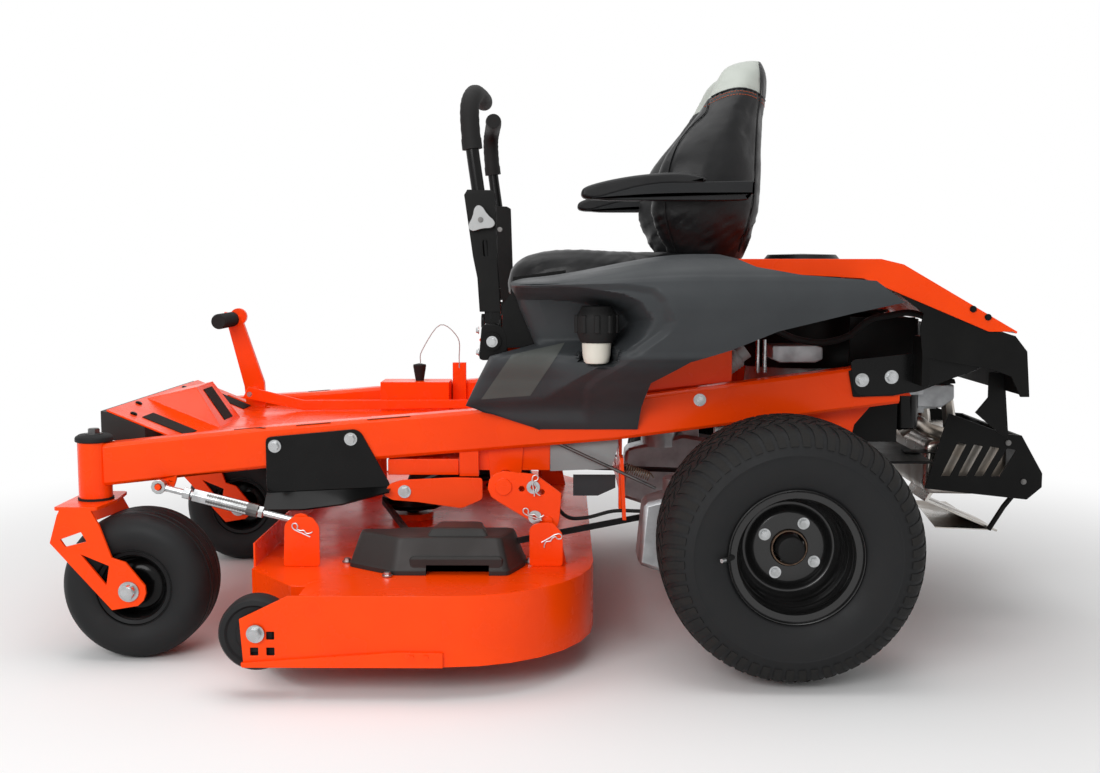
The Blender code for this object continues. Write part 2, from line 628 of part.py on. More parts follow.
def make_deck():
    outer = deck_plan()
    shell = prism(outer, DECK_BOTTOM, DECK_TOP, "Z")
    hollow = prism(inset(outer, SHEET), DECK_BOTTOM - 0.01, DECK_TOP - SHEET, "Z")
    shell = cut(shell, hollow)
    half = DECK_HALF_WIDTH
    throat = box((-0.850, -0.600), (half - 0.05, half + 0.05), (DECK_BOTTOM - 0.02, DECK_TOP - 0.02))
    shell = cut(shell, throat)
    for side in (-1, 1):
        outside = side * half
        cheek = [(SCALP_X - 0.018, DECK_BOTTOM), (SCALP_X + 0.090, DECK_BOTTOM), (SCALP_X + 0.090, DECK_TOP)]
        cheek += [(SCALP_X + 0.060, DECK_TOP), (SCALP_X - 0.024, SCALP_Z + 0.030)]
        squares = []
        for a, b in ((0.022, -0.006), (0.022, -0.034), (-0.006, -0.034)):
            low, high = (SCALP_X + a, SCALP_Z + b), (SCALP_X + a + 0.014, SCALP_Z + b + 0.014)
            squares.append([low, (high[0], low[1]), high, (low[0], high[1])])
        plate = prism(cheek, *sorted((outside, outside - side * SHEET)), "Y", squares)
        reach = sorted((side * (half + SCALP_AXLE_END), side * (half - SHEET - SCALP_WHEEL_WIDTH - 0.012)))
        axle = cylinder((SCALP_X, 0, SCALP_Z), 0.007, *reach, "Y", 8)
        front = [(LINK_REAR_X - 0.032, DECK_TOP - 0.002), (LINK_REAR_X + 0.032, DECK_TOP - 0.002)]
        front += arc((LINK_REAR_X, LINK_REAR_Z), 0.020, 0, 180, 6)
        near = LINK_Y + LINK_EYE_HALF + PIVOT_GAP
        ear = prism(front, *sorted((side * near, side * (near + 0.006))))
        x = LIFT_SHAFT_X + LIFT_CRANK
        tail = [(x - 0.034, DECK_TOP - 0.002), (x + 0.034, DECK_TOP - 0.002)]
        tail += arc((x, LIFT_SHAFT_Z - LIFT_DROP - 0.028), 0.022, 0, 180, 6)
        far = LIFT_PLATE_Y - PIVOT_GAP
        lug = prism(tail, *sorted((side * far, side * (far - 0.006))))
        shell = join(shell, plate, axle, ear, lug)
    wall = [(DECK_FRONT_X, DECK_TOP - 0.003), (DECK_FRONT_X + SHEET, DECK_TOP - 0.003)]
    wall += [(DECK_FRONT_X + SHEET, DECK_TOP + 0.045), (DECK_FRONT_X, DECK_TOP + 0.045)]
    shell = join(shell, prism(wall, -0.455, 0.455))
    for place in spindle_places():
        seat = cylinder((*place, 0), 0.046, DECK_TOP - SHEET - 0.020, DECK_TOP + 0.014, "Z", 12)
        bore = cylinder((*place, 0), 0.013 + BEARING_GAP, DECK_BOTTOM, DECK_TOP + 0.03, "Z", 10)
        shell = cut(join(shell, seat), bore)
    node("deck_shell", shell, ORANGE)
    for name, side in SIDES:
        node(f"belt_cover_{name}", mirrored(belt_cover(), side), DARK_PLASTIC)
        y = side * (half - SHEET - 0.004 - SCALP_WHEEL_WIDTH / 2)
        rim = [(0.008, -0.5), (0.018, -0.5), (0.020, -0.36), (0.9, -0.38), (1, -0.26)]
        rim = [(r if r < 0.1 else r * SCALP_WHEEL_RADIUS, a * SCALP_WHEEL_WIDTH) for r, a in rim]
        wheel = revolve(rim + [(r, -a) for r, a in reversed(rim)], (SCALP_X, y, SCALP_Z), "Y", 12)
        node(f"scalp_wheel_{name}", wheel, RUBBER, (SCALP_X, y, SCALP_Z))
    for name, place in zip(("left", "centre", "right"), spindle_places()):
        node(f"blade_spindle_{name}", spindle(place), BLACK_STEEL, (*place, DECK_TOP))
    make_chute()


def spindle_places():
    return (SPINDLE_X, -SPINDLE_SPACING), (CENTRE_SPINDLE_X, 0), (SPINDLE_X, SPINDLE_SPACING)


def pulley_profile(low):
    """A V-grooved pulley's rim, from its lower to its upper edge."""
    groove = PULLEY_RADIUS - BELT_DEPTH - GAP
    return [(PULLEY_RADIUS, low), (PULLEY_RADIUS, low + 0.003), (groove, low + 0.006), (groove, low + 0.020),
            (PULLEY_RADIUS, low + 0.023), (PULLEY_RADIUS, low + 0.026)]


def spindle(place):
    """A blade spindle: bolt head, shaft and pulley, with the cutting blade clamped below."""
    low = BELT_Z - 0.013
    profile = [(0, BLADE_Z - 0.012), (0.014, BLADE_Z - 0.012), (0.014, BLADE_Z), (0.022, BLADE_Z)]
    profile += [(0.022, BLADE_Z + 0.020), (0.013, BLADE_Z + 0.020), (0.013, low), *pulley_profile(low)]
    profile += [(0.030, low + 0.026), (0.026, low + 0.018), (0.014, low + 0.018), (0.014, low + 0.034),
                (0, low + 0.034)]
    rings = []
    for share, rise in ((-1, 0.022), (-0.62, 0.020), (-0.5, 0), (0.5, 0), (0.62, 0.020), (1, 0.022)):
        lean = 1 if share > 0 else -1
        x, y = place
        along = y + share * BLADE_RADIUS
        edge = ((0.028, 0), (-0.028, rise))
        low_line = [(x + lean * a, along, BLADE_Z + b) for a, b in edge]
        high_line = [(x + lean * a, along, BLADE_Z + b + 0.006) for a, b in reversed(edge)]
        ring = low_line + high_line
        rings.append(ring if lean > 0 else [ring[1], ring[0], ring[3], ring[2]])
    return join(revolve(profile, (*place, 0), "Z", 10), solid(rings))


def belt_cover():
    """A stepped moulded cover over an outer spindle pulley, open underneath."""
    x, y = COVER_X, -(SPINDLE_SPACING + 0.007)
    base = DECK_TOP + GAP
    steps = ((0.165, 0.085, base), (0.160, 0.083, base + 0.030), (0.105, 0.081, base + 0.062),
             (0.085, 0.070, base + 0.078))
    inner_edge = y + 0.068

    def ring(length, width, z, shrink=0.0):
        flat = [(x - length, y - width), (x + length, y - width), (x + length, inner_edge),
                (x - length, inner_edge)]
        flat = rounded(inset(flat, shrink) if shrink else flat, 0.030, 3)
        return [(a, b, z) for a, b in flat]

    outer = solid([ring(*step) for step in steps])
    inner = solid([ring(*step[:2], step[2] - 0.004, 0.004) for step in steps])
    way = (base - 0.01, base + 0.056)
    side_way = box((x - 0.2, x + 0.2), (inner_edge - 0.012, inner_edge + 0.02), way)
    rear_way = box((x + 0.08, x + 0.2), (y - 0.045, inner_edge + 0.02), way)
    return cut(outer, inner, side_way, rear_way)


def make_chute():
    """The hinged grass chute over the side opening: a sloping flap with two end walls."""
    hinge = (-0.725, DECK_HALF_WIDTH + 0.0055, DECK_TOP - 0.006)
    x = (-0.862, -0.588)
    tip = DECK_HALF_WIDTH + CHUTE_REACH
    profile = [(hinge[1], hinge[2]), (hinge[1] + 0.02, hinge[2] + 0.004), (tip - 0.03, 0.120), (tip, 0.085)]
    flap = profile + [(a, b - 0.005) for a, b in reversed(profile)]
    end = profile + [(tip, 0.070), (hinge[1] + 0.02, 0.085)]
    chute = join(prism(flap, *x, "X"), prism(end, x[0], x[0] + 0.005, "X"),
                 prism(end, x[1] - 0.005, x[1], "X"))
    rod = cylinder((0, hinge[1] + 0.001, hinge[2] - 0.001), 0.006, x[0] - 0.008, x[1] + 0.008, "X", 12)
    node("discharge_chute", join(chute, rod), RUBBER, hinge)


def hull(points):
    """The outline round a set of flat points, anticlockwise."""
    points = sorted(points)

    def half(run):
        made = []
        for p in run:
            while len(made) > 1:
                a, b = Vector(made[-1]) - Vector(made[-2]), Vector(p) - Vector(made[-1])
                if a.x * b.y - a.y * b.x > 0:
                    break
                made.pop()
            made.append(p)
        return made[:-1]

    return half(points) + half(points[::-1])


def make_belt():
    """The deck drive belt, drawn tight round the spindles and the engine clutch."""
    reach = PULLEY_RADIUS - BELT_DEPTH + BELT_SLACK
    middle = [*spindle_places(), (ENGINE_X, 0)]
    path = hull([p for place in middle for p in circle(place, reach + BELT_DEPTH / 2, 20)])
    rings = []
    for i, here in enumerate(path):
        ahead = (Vector(path[(i + 1) % len(path)]) - Vector(path[i - 1])).normalized()
        out = Vector((ahead.y, -ahead.x)) * BELT_DEPTH / 2
        share = min(1, max(0, (here[0] + 0.52) / 0.55))
        z = BELT_Z + share * (CLUTCH_Z - BELT_Z)
        inside, outside = Vector(here) - out, Vector(here) + out
        rings.append([(*inside, z - 0.004), (*outside, z - 0.006), (*outside, z + 0.006),
                      (*inside, z + 0.004)])
    node("deck_belt", solid(rings, caps=False), RUBBER)
    low = CLUTCH_Z - 0.013
    profile = [(0, low - 0.008), (0.016, low - 0.008), (0.016, low), *pulley_profile(low),
               (0.050, low + 0.027)]
    profile += [(0.052, ENGINE_PLATE_Z - 0.012), (0.014, ENGINE_PLATE_Z - 0.012),
                (0.014, ENGINE_BASE_Z - GAP), (0, ENGINE_BASE_Z - GAP)]
    node("engine_clutch", revolve(profile, (ENGINE_X, 0, 0), "Z", 12), BLACK_STEEL, (ENGINE_X, 0, CLUTCH_Z))


def make_lift():
    """The lift shaft with its crank plates, the front links, the foot pedal and its link."""
    x, z = LIFT_SHAFT_X, LIFT_SHAFT_Z
    ends = LIFT_PLATE_Y + 0.010
    shaft = cylinder((x, 0, z), LIFT_SHAFT_RADIUS, -ends, ends, "Y", 12)
    tip = (x + LIFT_CRANK, z - LIFT_DROP)
    outline = arc((x, z), 0.030, 90, 250, 5) + arc(tip, 0.020, 220, 360, 4)
    outline += [(tip[0] + 0.024, z - 0.012), (x + 0.060, z + 0.024)]
    holes = (circle((x + 0.034, z - 0.004), 0.006, 6), circle((x + 0.072, z - 0.010), 0.006, 6))
    for side in (-1, 1):
        wall = sorted((side * LIFT_PLATE_Y, side * (LIFT_PLATE_Y + 0.006)))
        shaft = join(shaft, prism(outline, *wall, "Y", holes))
        head = sorted((side * (LIFT_PLATE_Y + 0.003), side * (LIFT_PLATE_Y + 0.010)))
        shaft = join(shaft, cylinder((tip[0], 0, tip[1]), 0.008, *head, "Y", 8))
    arm = [(x - 0.014, z), (x + 0.014, z), (x + 0.012, z + LIFT_CRANK + 0.012),
           (x - 0.012, z + LIFT_CRANK + 0.012)]
    side_gap = PEDAL_LINK_Y + 0.003 + PIVOT_GAP
    shaft = join(shaft, prism(arm, side_gap, side_gap + 0.006))
    node("lift_shaft", shaft, ORANGE, (x, 0, z))
    for name, side in SIDES:
        front = Vector((LINK_FRONT_X, side * LINK_Y, LINK_FRONT_Z))
        rear = Vector((LINK_REAR_X, side * LINK_Y, LINK_REAR_Z))
        run = rear - front
        rod = pipe([front + 0.03 * run, rear - 0.03 * run], LINK_RADIUS * 0.8, 8)
        body = pipe([front + 0.24 * run, front + 0.62 * run], LINK_RADIUS * 1.7, 6)
        nuts = [pipe([front + a * run, front + (a + 0.05) * run], LINK_RADIUS * 1.5, 6)
                for a in (0.17, 0.68)]
        eyes = [cylinder(tuple(end), 0.014, -LINK_EYE_HALF, LINK_EYE_HALF, "Y", 10) for end in (front, rear)]
        link = cut(join(rod, body, *nuts, *eyes), cylinder(tuple(front), 0.0068, -0.02, 0.02, "Y", 8))
        node(f"front_link_{name}", link, ZINC, tuple(front))
    foot = (PEDAL_X, PEDAL_Z)
    neck = (PEDAL_X - 0.004, PEDAL_Z + PEDAL_LINK_RISE)
    head = (PEDAL_X - 0.057, PEDAL_Z + 0.267)
    front_edge = [(neck[0] - 0.026, neck[1] + 0.01), (head[0] - 0.018, head[1] + 0.018)]
    rear_edge = [(head[0] + 0.022, head[1] + 0.008), (neck[0] + 0.022, neck[1] + 0.02)]
    arm = arc(foot, 0.022, 0, -180, 6) + front_edge + rear_edge
    pedal = prism(arm[::-1], PEDAL_Y - 0.007, PEDAL_Y + 0.007, "Y", (circle(foot, 0.0078, 8),))
    peg = [(0, 0.004), (0.010, 0.004), (0.010, -0.010), (0.016, -0.012), (0.016, -0.116), (0.012, -0.120),
           (0, -0.120)]
    pedal = join(pedal, revolve([(r, a) for r, a in peg], (head[0], PEDAL_Y, head[1]), "Y", 12))
    boss = sorted((PEDAL_LINK_Y + 0.003 + PIVOT_GAP - PEDAL_Y, -0.005))
    pedal = join(pedal, cylinder((neck[0], PEDAL_Y, neck[1]), 0.010, *boss, "Y", 12))
    node("lift_pedal", pedal, ORANGE, (PEDAL_X, PEDAL_Y, PEDAL_Z))
    top = (x, z + LIFT_CRANK)
    bar = [(neck[0] - 0.014, neck[1] - 0.010), (neck[0] + 0.13, neck[1] - 0.040),
           (top[0] + 0.014, top[1] - 0.008)]
    bar += [(top[0] + 0.014, top[1] + 0.010), (neck[0] + 0.13, neck[1] - 0.016), (neck[0], neck[1] + 0.016)]
    link = prism(bar, PEDAL_LINK_Y - 0.003, PEDAL_LINK_Y + 0.003)
    node("pedal_link", link, ORANGE, (neck[0], PEDAL_LINK_Y, neck[1]))


def lever_route(side):
    """The lap bar's bends, from its foot up to the turned-in handle."""
    y = side * LEVER_Y
    foot = LAP_PIN_Z + 0.002
    places = ((-0.002, 0, 0), (-0.010, 0, 0.12), (-0.026, 0, 0.24), (-0.038, 0, 0.33),
              (-0.042, 0.004, 0.395), (-0.036, 0.035, 0.425), (-0.030, 0.10, 0.430), (-0.026, 0.175, 0.430))
    return smooth_route([(LEVER_PIVOT_X + a, y - side * b, foot + c) for a, b, c in places], 2)


def make_levers():
    for name, side in SIDES:
        pivot = (LEVER_PIVOT_X, side * LEVER_Y, LEVER_PIVOT_Z)
        x, y, z = pivot
        half = LEVER_BLOCK / 2
        body = [(x - 0.026, z - 0.036), (x + 0.028, z - 0.036), (x + 0.028, z + 0.012),
                (x + 0.016, z + 0.032), (x - 0.020, z + 0.032)]
        block = prism(rounded(body, 0.008, 2), y - half, y + half)
        block = cut(block, cylinder(pivot, LEVER_SHAFT_RADIUS + BEARING_GAP, -0.06, 0.06, "Y", 12))
        for low in (x - 0.002 - LEVER_TUBE - 0.007, x - 0.002 + LEVER_TUBE + 0.001):
            ear = [(y - 0.012, z + 0.026), (y + 0.012, z + 0.026), *arc((y, LAP_PIN_Z), 0.012, 0, 180, 4)]
            hole = circle((y, LAP_PIN_Z), LAP_PIN_RADIUS + BEARING_GAP, 8)
            block = join(block, prism(ear, low, low + 0.006, "X", (hole,)))
        node(f"lever_pivot_{name}", block, BLACK_STEEL, pivot)
        route = lever_route(side)
        bar = pipe(route, LEVER_TUBE)
        strap = [(x - 0.022, z + 0.052), (x + 0.018, z + 0.052), (x + 0.010, z + 0.185),
                 (x - 0.028, z + 0.185)]
        slot = rounded([(x - 0.010, z + 0.100), (x - 0.002, z + 0.100), (x - 0.004, z + 0.160),
                        (x - 0.012, z + 0.160)], 0.004, 2)
        outer = sorted((y + side * (LEVER_TUBE - 0.003), y + side * (LEVER_TUBE + 0.004)))
        bar = join(bar, prism(strap, *outer, "Y", (slot,)))
        hinge = (x, y, LAP_PIN_Z)
        bar = join(bar, cylinder((x, y, LAP_PIN_Z), LAP_PIN_RADIUS, -0.026, 0.022, "X", 8))
        node(f"lap_bar_{name}", bar, BLACK_STEEL, hinge)
        held = [p for p in route if p.z > GRIP_FROM_Z]
        last = held[-1] + (held[-1] - held[-2]).normalized() * 0.012
        sleeve = pipe(held + [last], GRIP_RADIUS)
        core = pipe([*route, route[-1] + (last - route[-1]) * 0.1], LEVER_TUBE + 3 * GAP)
        node(f"lever_grip_{name}", cut(sleeve, core), RUBBER, hinge)


def seat_cushion():
    """A padded seat with raised side bolsters and a dished middle."""
    across = ((-1, 0), (-1, 0.5), (-0.94, 0.86), (-0.76, 1), (-0.46, 0.90), (0, 0.86))
    across += tuple((-u, v) for u, v in reversed(across[:-1])) + ((0.6, 0), (0, 0), (-0.6, 0))
    base = SEAT_HINGE_Z + 0.0123
    back_top = SEAT_BACK_Z - GAP
    stations = ((-0.522, 0.20, 0.715), (-0.510, 0.225, 0.742), (-0.470, 0.245, 0.763),
                (-0.400, 0.255, 0.775))
    stations += ((-0.300, 0.255, back_top), (-0.200, 0.250, back_top), (-0.110, 0.245, back_top),
                 (-0.085, 0.22, 0.74))
    return solid([[(x, u * half, base + v * (top - base)) for u, v in across] for x, half, top in stations])


def seat_back():
    """A tall padded back whose bolsters wrap forward and whose top tapers in."""
    section = ((-1, 0.55), (-0.94, 0.10), (-0.80, 0), (-0.60, 0.18), (-0.30, 0.34), (0, 0.37))
    section += tuple((-u, v) for u, v in reversed(section[:-1]))
    section += ((0.82, 0.93), (0.4, 1), (-0.4, 1), (-0.82, 0.93))
    levels = ((SEAT_BACK_Z, -0.205, -0.045, 0.220), (0.800, -0.228, -0.024, 0.245),
              (0.850, -0.240, -0.006, 0.255))
    levels += ((0.930, -0.222, -0.002, 0.252), (0.985, -0.190, 0.000, 0.242), (1.050, -0.138, 0.004, 0.215))
    levels += ((1.110, -0.098, 0.008, 0.180), (1.150, -0.064, 0.008, 0.140), (1.165, -0.030, 0.002, 0.110))
    rings = []
    for z, front, rear, half in levels:
        rings.append([(front + v * (rear - front), u * half, z) for u, v in section])
    pins = [cylinder((ARMREST_X, side * 0.34, ARMREST_Z), 0.0106, -0.16, 0.16, "Y", 12) for side in (-1, 1)]
    return cut(solid(rings), *pins)


def armrest():
    """A padded arm that folds up about its rear pin."""
    x, z = ARMREST_X, ARMREST_Z
    inner = SEAT_HALF_WIDTH + 0.008
    pad = [(x - 0.330, z - 0.034), (x - 0.100, z - 0.034), (x - 0.080, z - 0.012),
           *arc((x, z), 0.016, -90, 90, 6)]
    pad += [(x - 0.075, z + 0.020), (x - 0.100, z + 0.036), (x - 0.160, z + 0.038), (x - 0.240, z + 0.026),
            (x - 0.326, z - 0.006), (x - 0.338, z - 0.022)]
    arm = prism(pad, -inner - ARMREST_WIDTH, -inner)
    bmesh.ops.bevel(arm, geom=[e for e in arm.edges if e.calc_face_angle(0) > 1.2], offset=0.006, segments=1,
                    affect="EDGES")
    return join(arm, cylinder((x, 0, z), 0.010, -inner - 0.004, -0.205, "Y", 12))


def make_seat():
    hinge = (SEAT_HINGE_X, 0, SEAT_HINGE_Z - 0.009)
    base = (SEAT_HINGE_Z, SEAT_HINGE_Z + 0.012)
    pan = box((-0.480, -0.080), (-0.215, 0.215), base)
    rod = cylinder(hinge, 0.0085, -0.20, 0.20, "Y", 8)
    stop = SEAT_DECK_Z + GAP
    feet = [cylinder((-0.11, y, 0), 0.016, stop, base[0] + 0.002, "Z", 8) for y in (-0.15, 0.15)]
    ears = [box((-0.482, -0.458), (y - 0.01, y + 0.01), (hinge[2], base[0] + 0.002)) for y in (-0.15, 0.15)]
    node("seat_pan", join(pan, rod, *feet, *ears), BLACK_STEEL, hinge)
    node("seat_cushion", seat_cushion(), VINYL, hinge)
    node("seat_back", seat_back(), VINYL, hinge)
    for name, side in SIDES:
        pivot = (ARMREST_X, side * (SEAT_HALF_WIDTH + ARMREST_WIDTH / 2), ARMREST_Z)
        node(f"armrest_{name}", mirrored(armrest(), side), VINYL, pivot)
    half = SEAT_DECK_HALF
    front, rear = LEVER_PIVOT_X + 0.044, -0.078
    deck = box((front, rear), (-half, half), (SEAT_DECK_Z - SHEET, SEAT_DECK_Z))
    height = (rail_top(front) + 0.012, SEAT_DECK_Z - 0.001)
    deck = join(deck, box((front, front + SHEET), (-half, half), height))
    x, z = LEVER_PIVOT_X, LEVER_PIVOT_Z
    wall = [(front, rail_top(front) + 0.0012), (rear, rail_top(rear) + 0.0012), (rear, SEAT_DECK_Z - 0.001),
            (front, SEAT_DECK_Z - 0.001)]
    wall += [(x - 0.012, z + 0.024), (x - 0.028, z), (x - 0.012, z - 0.024), (front, z - 0.05)]
    for side in (-1, 1):
        deck = join(deck, prism(wall, *sorted((side * half, side * (half - SHEET)))))
        reach = sorted((side * (half - 0.002), side * (LEVER_Y + LEVER_BLOCK / 2 + 0.004)))
        deck = join(deck, cylinder((x, 0, z), LEVER_SHAFT_RADIUS, *reach, "Y", 12))
    node("seat_deck", join(deck, bulkhead()), ORANGE)


def bulkhead():
    """The plate across the frame under the seat, notched below for the belt."""
    inner = RAIL_INNER_Y - GAP
    leg = inner - 0.024
    x = RAIL_BEND_X + 0.015
    ledge = rail_top(x) + 0.004
    wide = SEAT_DECK_HALF - 0.001
    face = [(-inner, 0.262), (-leg, 0.262), (-leg, 0.300), (leg, 0.300), (leg, 0.262), (inner, 0.262),
            (inner, ledge)]
    face += [(wide, ledge), (wide, SEAT_DECK_Z - 0.001), (-wide, SEAT_DECK_Z - 0.001), (-wide, ledge),
             (-inner, ledge)]
    windows = [rounded([(a, c), (b, c), (b, d), (a, d)], 0.02, 1)
               for a, b, c, d in ((-0.20, 0.20, 0.325, 0.405), (-0.27, -0.03, 0.47, 0.62),
                                  (0.03, 0.27, 0.47, 0.62))]
    return prism(face, x, x + 0.006, "X", windows)


def ease(low, high, value):
    """A smooth step from 0 to 1 as value goes from low to high."""
    t = min(1, max(0, (value - low) / (high - low)))
    return t * t * (3 - 2 * t)


# Fender levels: height, front edge, rear edge, distance out, distance of the front wrap, fall at the front
FENDER_LEVELS = (
    (0.430, -0.450, -0.262, 0.3632, 0.3630, 0), (0.478, -0.590, -0.257, 0.400, 0.385, 0),
    (0.530, -0.565, -0.245, 0.475, 0.390, 0), (0.574, -0.542, -0.180, 0.543, 0.395, 0),
    (0.596, -0.452, -0.110, 0.556, 0.385, 0), (0.630, -0.462, -0.025, 0.567, 0.375, 0),
    (0.662, -0.480, 0.090, 0.576, 0.365, 0), (0.690, -0.494, 0.168, 0.580, 0.355, 0),
    (0.718, -0.503, 0.135, 0.572, 0.345, 0.010), (0.742, -0.500, 0.040, 0.550, 0.340, 0.028),
    (0.757, -0.490, -0.040, 0.510, 0.340, 0.040), (0.764, -0.480, -0.095, 0.450, 0.338, 0.045),
    (0.765, -0.470, -0.095, 0.390, 0.337, 0.045))
FENDER_COLUMNS = 12


def pocket(x, z):
    """Depth of the recess round the fuel filler."""
    along = ease(CAP_X - 0.115, CAP_X - 0.060, x) * (1 - ease(CAP_X + 0.060, CAP_X + 0.130, x))
    up = ease(0.572, 0.606, z) * (1 - ease(0.690, 0.725, z))
    return POCKET_DEPTH * along * up


def fender(with_pocket):
    """A moulded side body: wrapped front, swelling side, rolled top and a rear wing."""
    mesh = bmesh.new()
    rows = []
    for z, front, rear, out, wrap, fall in FENDER_LEVELS:
        corner = ((front, wrap), (front, wrap + 0.4 * (out - wrap)),
                  (front + 0.012, wrap + 0.85 * (out - wrap)))
        places = list(corner)
        for k in range(FENDER_COLUMNS + 1):
            x = front + 0.04 + (rear - front - 0.04) * k / FENDER_COLUMNS
            places.append((x, out - (pocket(x, z) if with_pocket else 0)))
        row = [(x, -y, z - fall * (1 - ease(-0.50, -0.16, x))) for x, y in places]
        rows.append([mesh.verts.new(p) for p in row])
    for below, above in zip(rows, rows[1:]):
        for i in range(len(below) - 1):
            mesh.faces.new((below[i], below[i + 1], above[i + 1], above[i]))
    bmesh.ops.recalc_face_normals(mesh, faces=mesh.faces)
    if mesh.faces[len(mesh.faces) // 2].normal.y > 0:
        bmesh.ops.reverse_faces(mesh, faces=mesh.faces)
    bmesh.ops.solidify(mesh, geom=mesh.faces[:], thickness=FENDER_WALL)
    bmesh.ops.recalc_face_normals(mesh, faces=mesh.faces)
    return mesh


def make_fenders():
    bottom = rail_top(CAP_X + 0.070) + GAP
    inner, foot, belly = SEAT_DECK_HALF + GAP, RAIL_OUTER_Y, RAIL_OUTER_Y + 0.066
    route = [(CAP_X, -belly + 0.026, bottom + 0.100), (CAP_X, -CAP_Y + 0.02, CAP_BASE_Z - 0.045),
             (CAP_X, -CAP_Y, CAP_BASE_Z - 0.022)]
    route = smooth_route(route, 4) + [Vector((CAP_X, -CAP_Y, CAP_BASE_Z - GAP))]
    hole = pipe(route[:-1] + [Vector((CAP_X, -CAP_Y, CAP_BASE_Z + 0.06))], NECK_RADIUS + 0.003, 12)
    node("fender_left", boolean(fender(True), hole, "DIFFERENCE", folds=True), DARK_PLASTIC)
    node("fender_right", mirrored(fender(False), 1), DARK_PLASTIC)
    section = [(-inner, bottom), (-foot, bottom), (-foot - 0.020, bottom + 0.046), (-belly, bottom + 0.094)]
    section += [(-belly, bottom + 0.126), (-inner, bottom + 0.126)]
    body = prism(section, CAP_X - 0.095, CAP_X + 0.070, "X")
    node("fuel_tank", join(body, pipe(route, NECK_RADIUS, 12)), NATURAL_PLASTIC)
    cap = [(0, 0), (CAP_RADIUS - 0.004, 0), (CAP_RADIUS, 0.006), (CAP_RADIUS - 0.003, 0.052),
           (CAP_RADIUS - 0.012, 0.062), (0, 0.066)]
    node("fuel_cap", revolve(cap, (CAP_X, -CAP_Y, CAP_BASE_Z), "Z", 18), RUBBER, (CAP_X, -CAP_Y, CAP_BASE_Z))


def make_rear_body():
    """The top cover with its engine opening, and the guard behind the engine."""
    half = GUARD_HALF_WIDTH
    top = [(-0.086, 0.756), (0.180, 0.756), (0.222, 0.746), (0.435, 0.622)]
    sheet = top + [(x - 0.002, z - SHEET) for x, z in reversed(top)]
    cover = prism(sheet, -half, half)
    side_flange = [(-0.086, 0.754), *top[1:], (0.382, 0.622), (0.190, 0.703), (0.148, 0.720),
                   (-0.046, 0.731)]
    for side in (-1, 1):
        cover = join(cover, prism(side_flange, *sorted((side * half, side * (half - SHEET)))))
    opening = rounded([(ENGINE_X - 0.115, -0.15), (ENGINE_X + 0.110, -0.15), (ENGINE_X + 0.110, 0.15),
                       (ENGINE_X - 0.115, 0.15)], 0.03, 3)
    cover = cut(cover, prism(opening, 0.6, 0.9, "Z"))
    node("rear_cover", cover, ORANGE)
    outer = half - SHEET - GAP
    plate = [(0.190, 0.711), (0.378, 0.632), (0.425, 0.616), (0.433, 0.614), (0.456, 0.585), (0.463, 0.500),
             (0.446, 0.500), (0.428, 0.538)]
    plate += [(0.390, 0.552), (0.262, 0.575), (0.256, 0.630), (0.262, 0.655)]
    back = [(0.433, 0.612), (0.456, 0.583), (0.463, 0.500), (0.459, 0.500), (0.452, 0.581), (0.430, 0.609)]
    guard = prism(back, -outer, outer)
    y = RAIL_OUTER_Y + GAP
    bracket = [(0.140, rail_top(0.14) - 0.004), (0.262, 0.575), (0.290, 0.560), (0.270, 0.505),
               (0.152, rail_top(0.15) - 0.068)]
    for side in (-1, 1):
        guard = join(guard, prism(plate, *sorted((side * outer, side * (outer - SHEET)))))
        guard = join(guard, prism(bracket, *sorted((side * y, side * (y + 0.005)))))
        web = [(0.262, 0.520), (0.276, 0.520), (0.276, 0.612), (0.262, 0.612)]
        guard = join(guard, prism(web, *sorted((side * (y + 0.002), side * (outer - 0.001)))))
    node("rear_guard", guard, BLACK_STEEL)


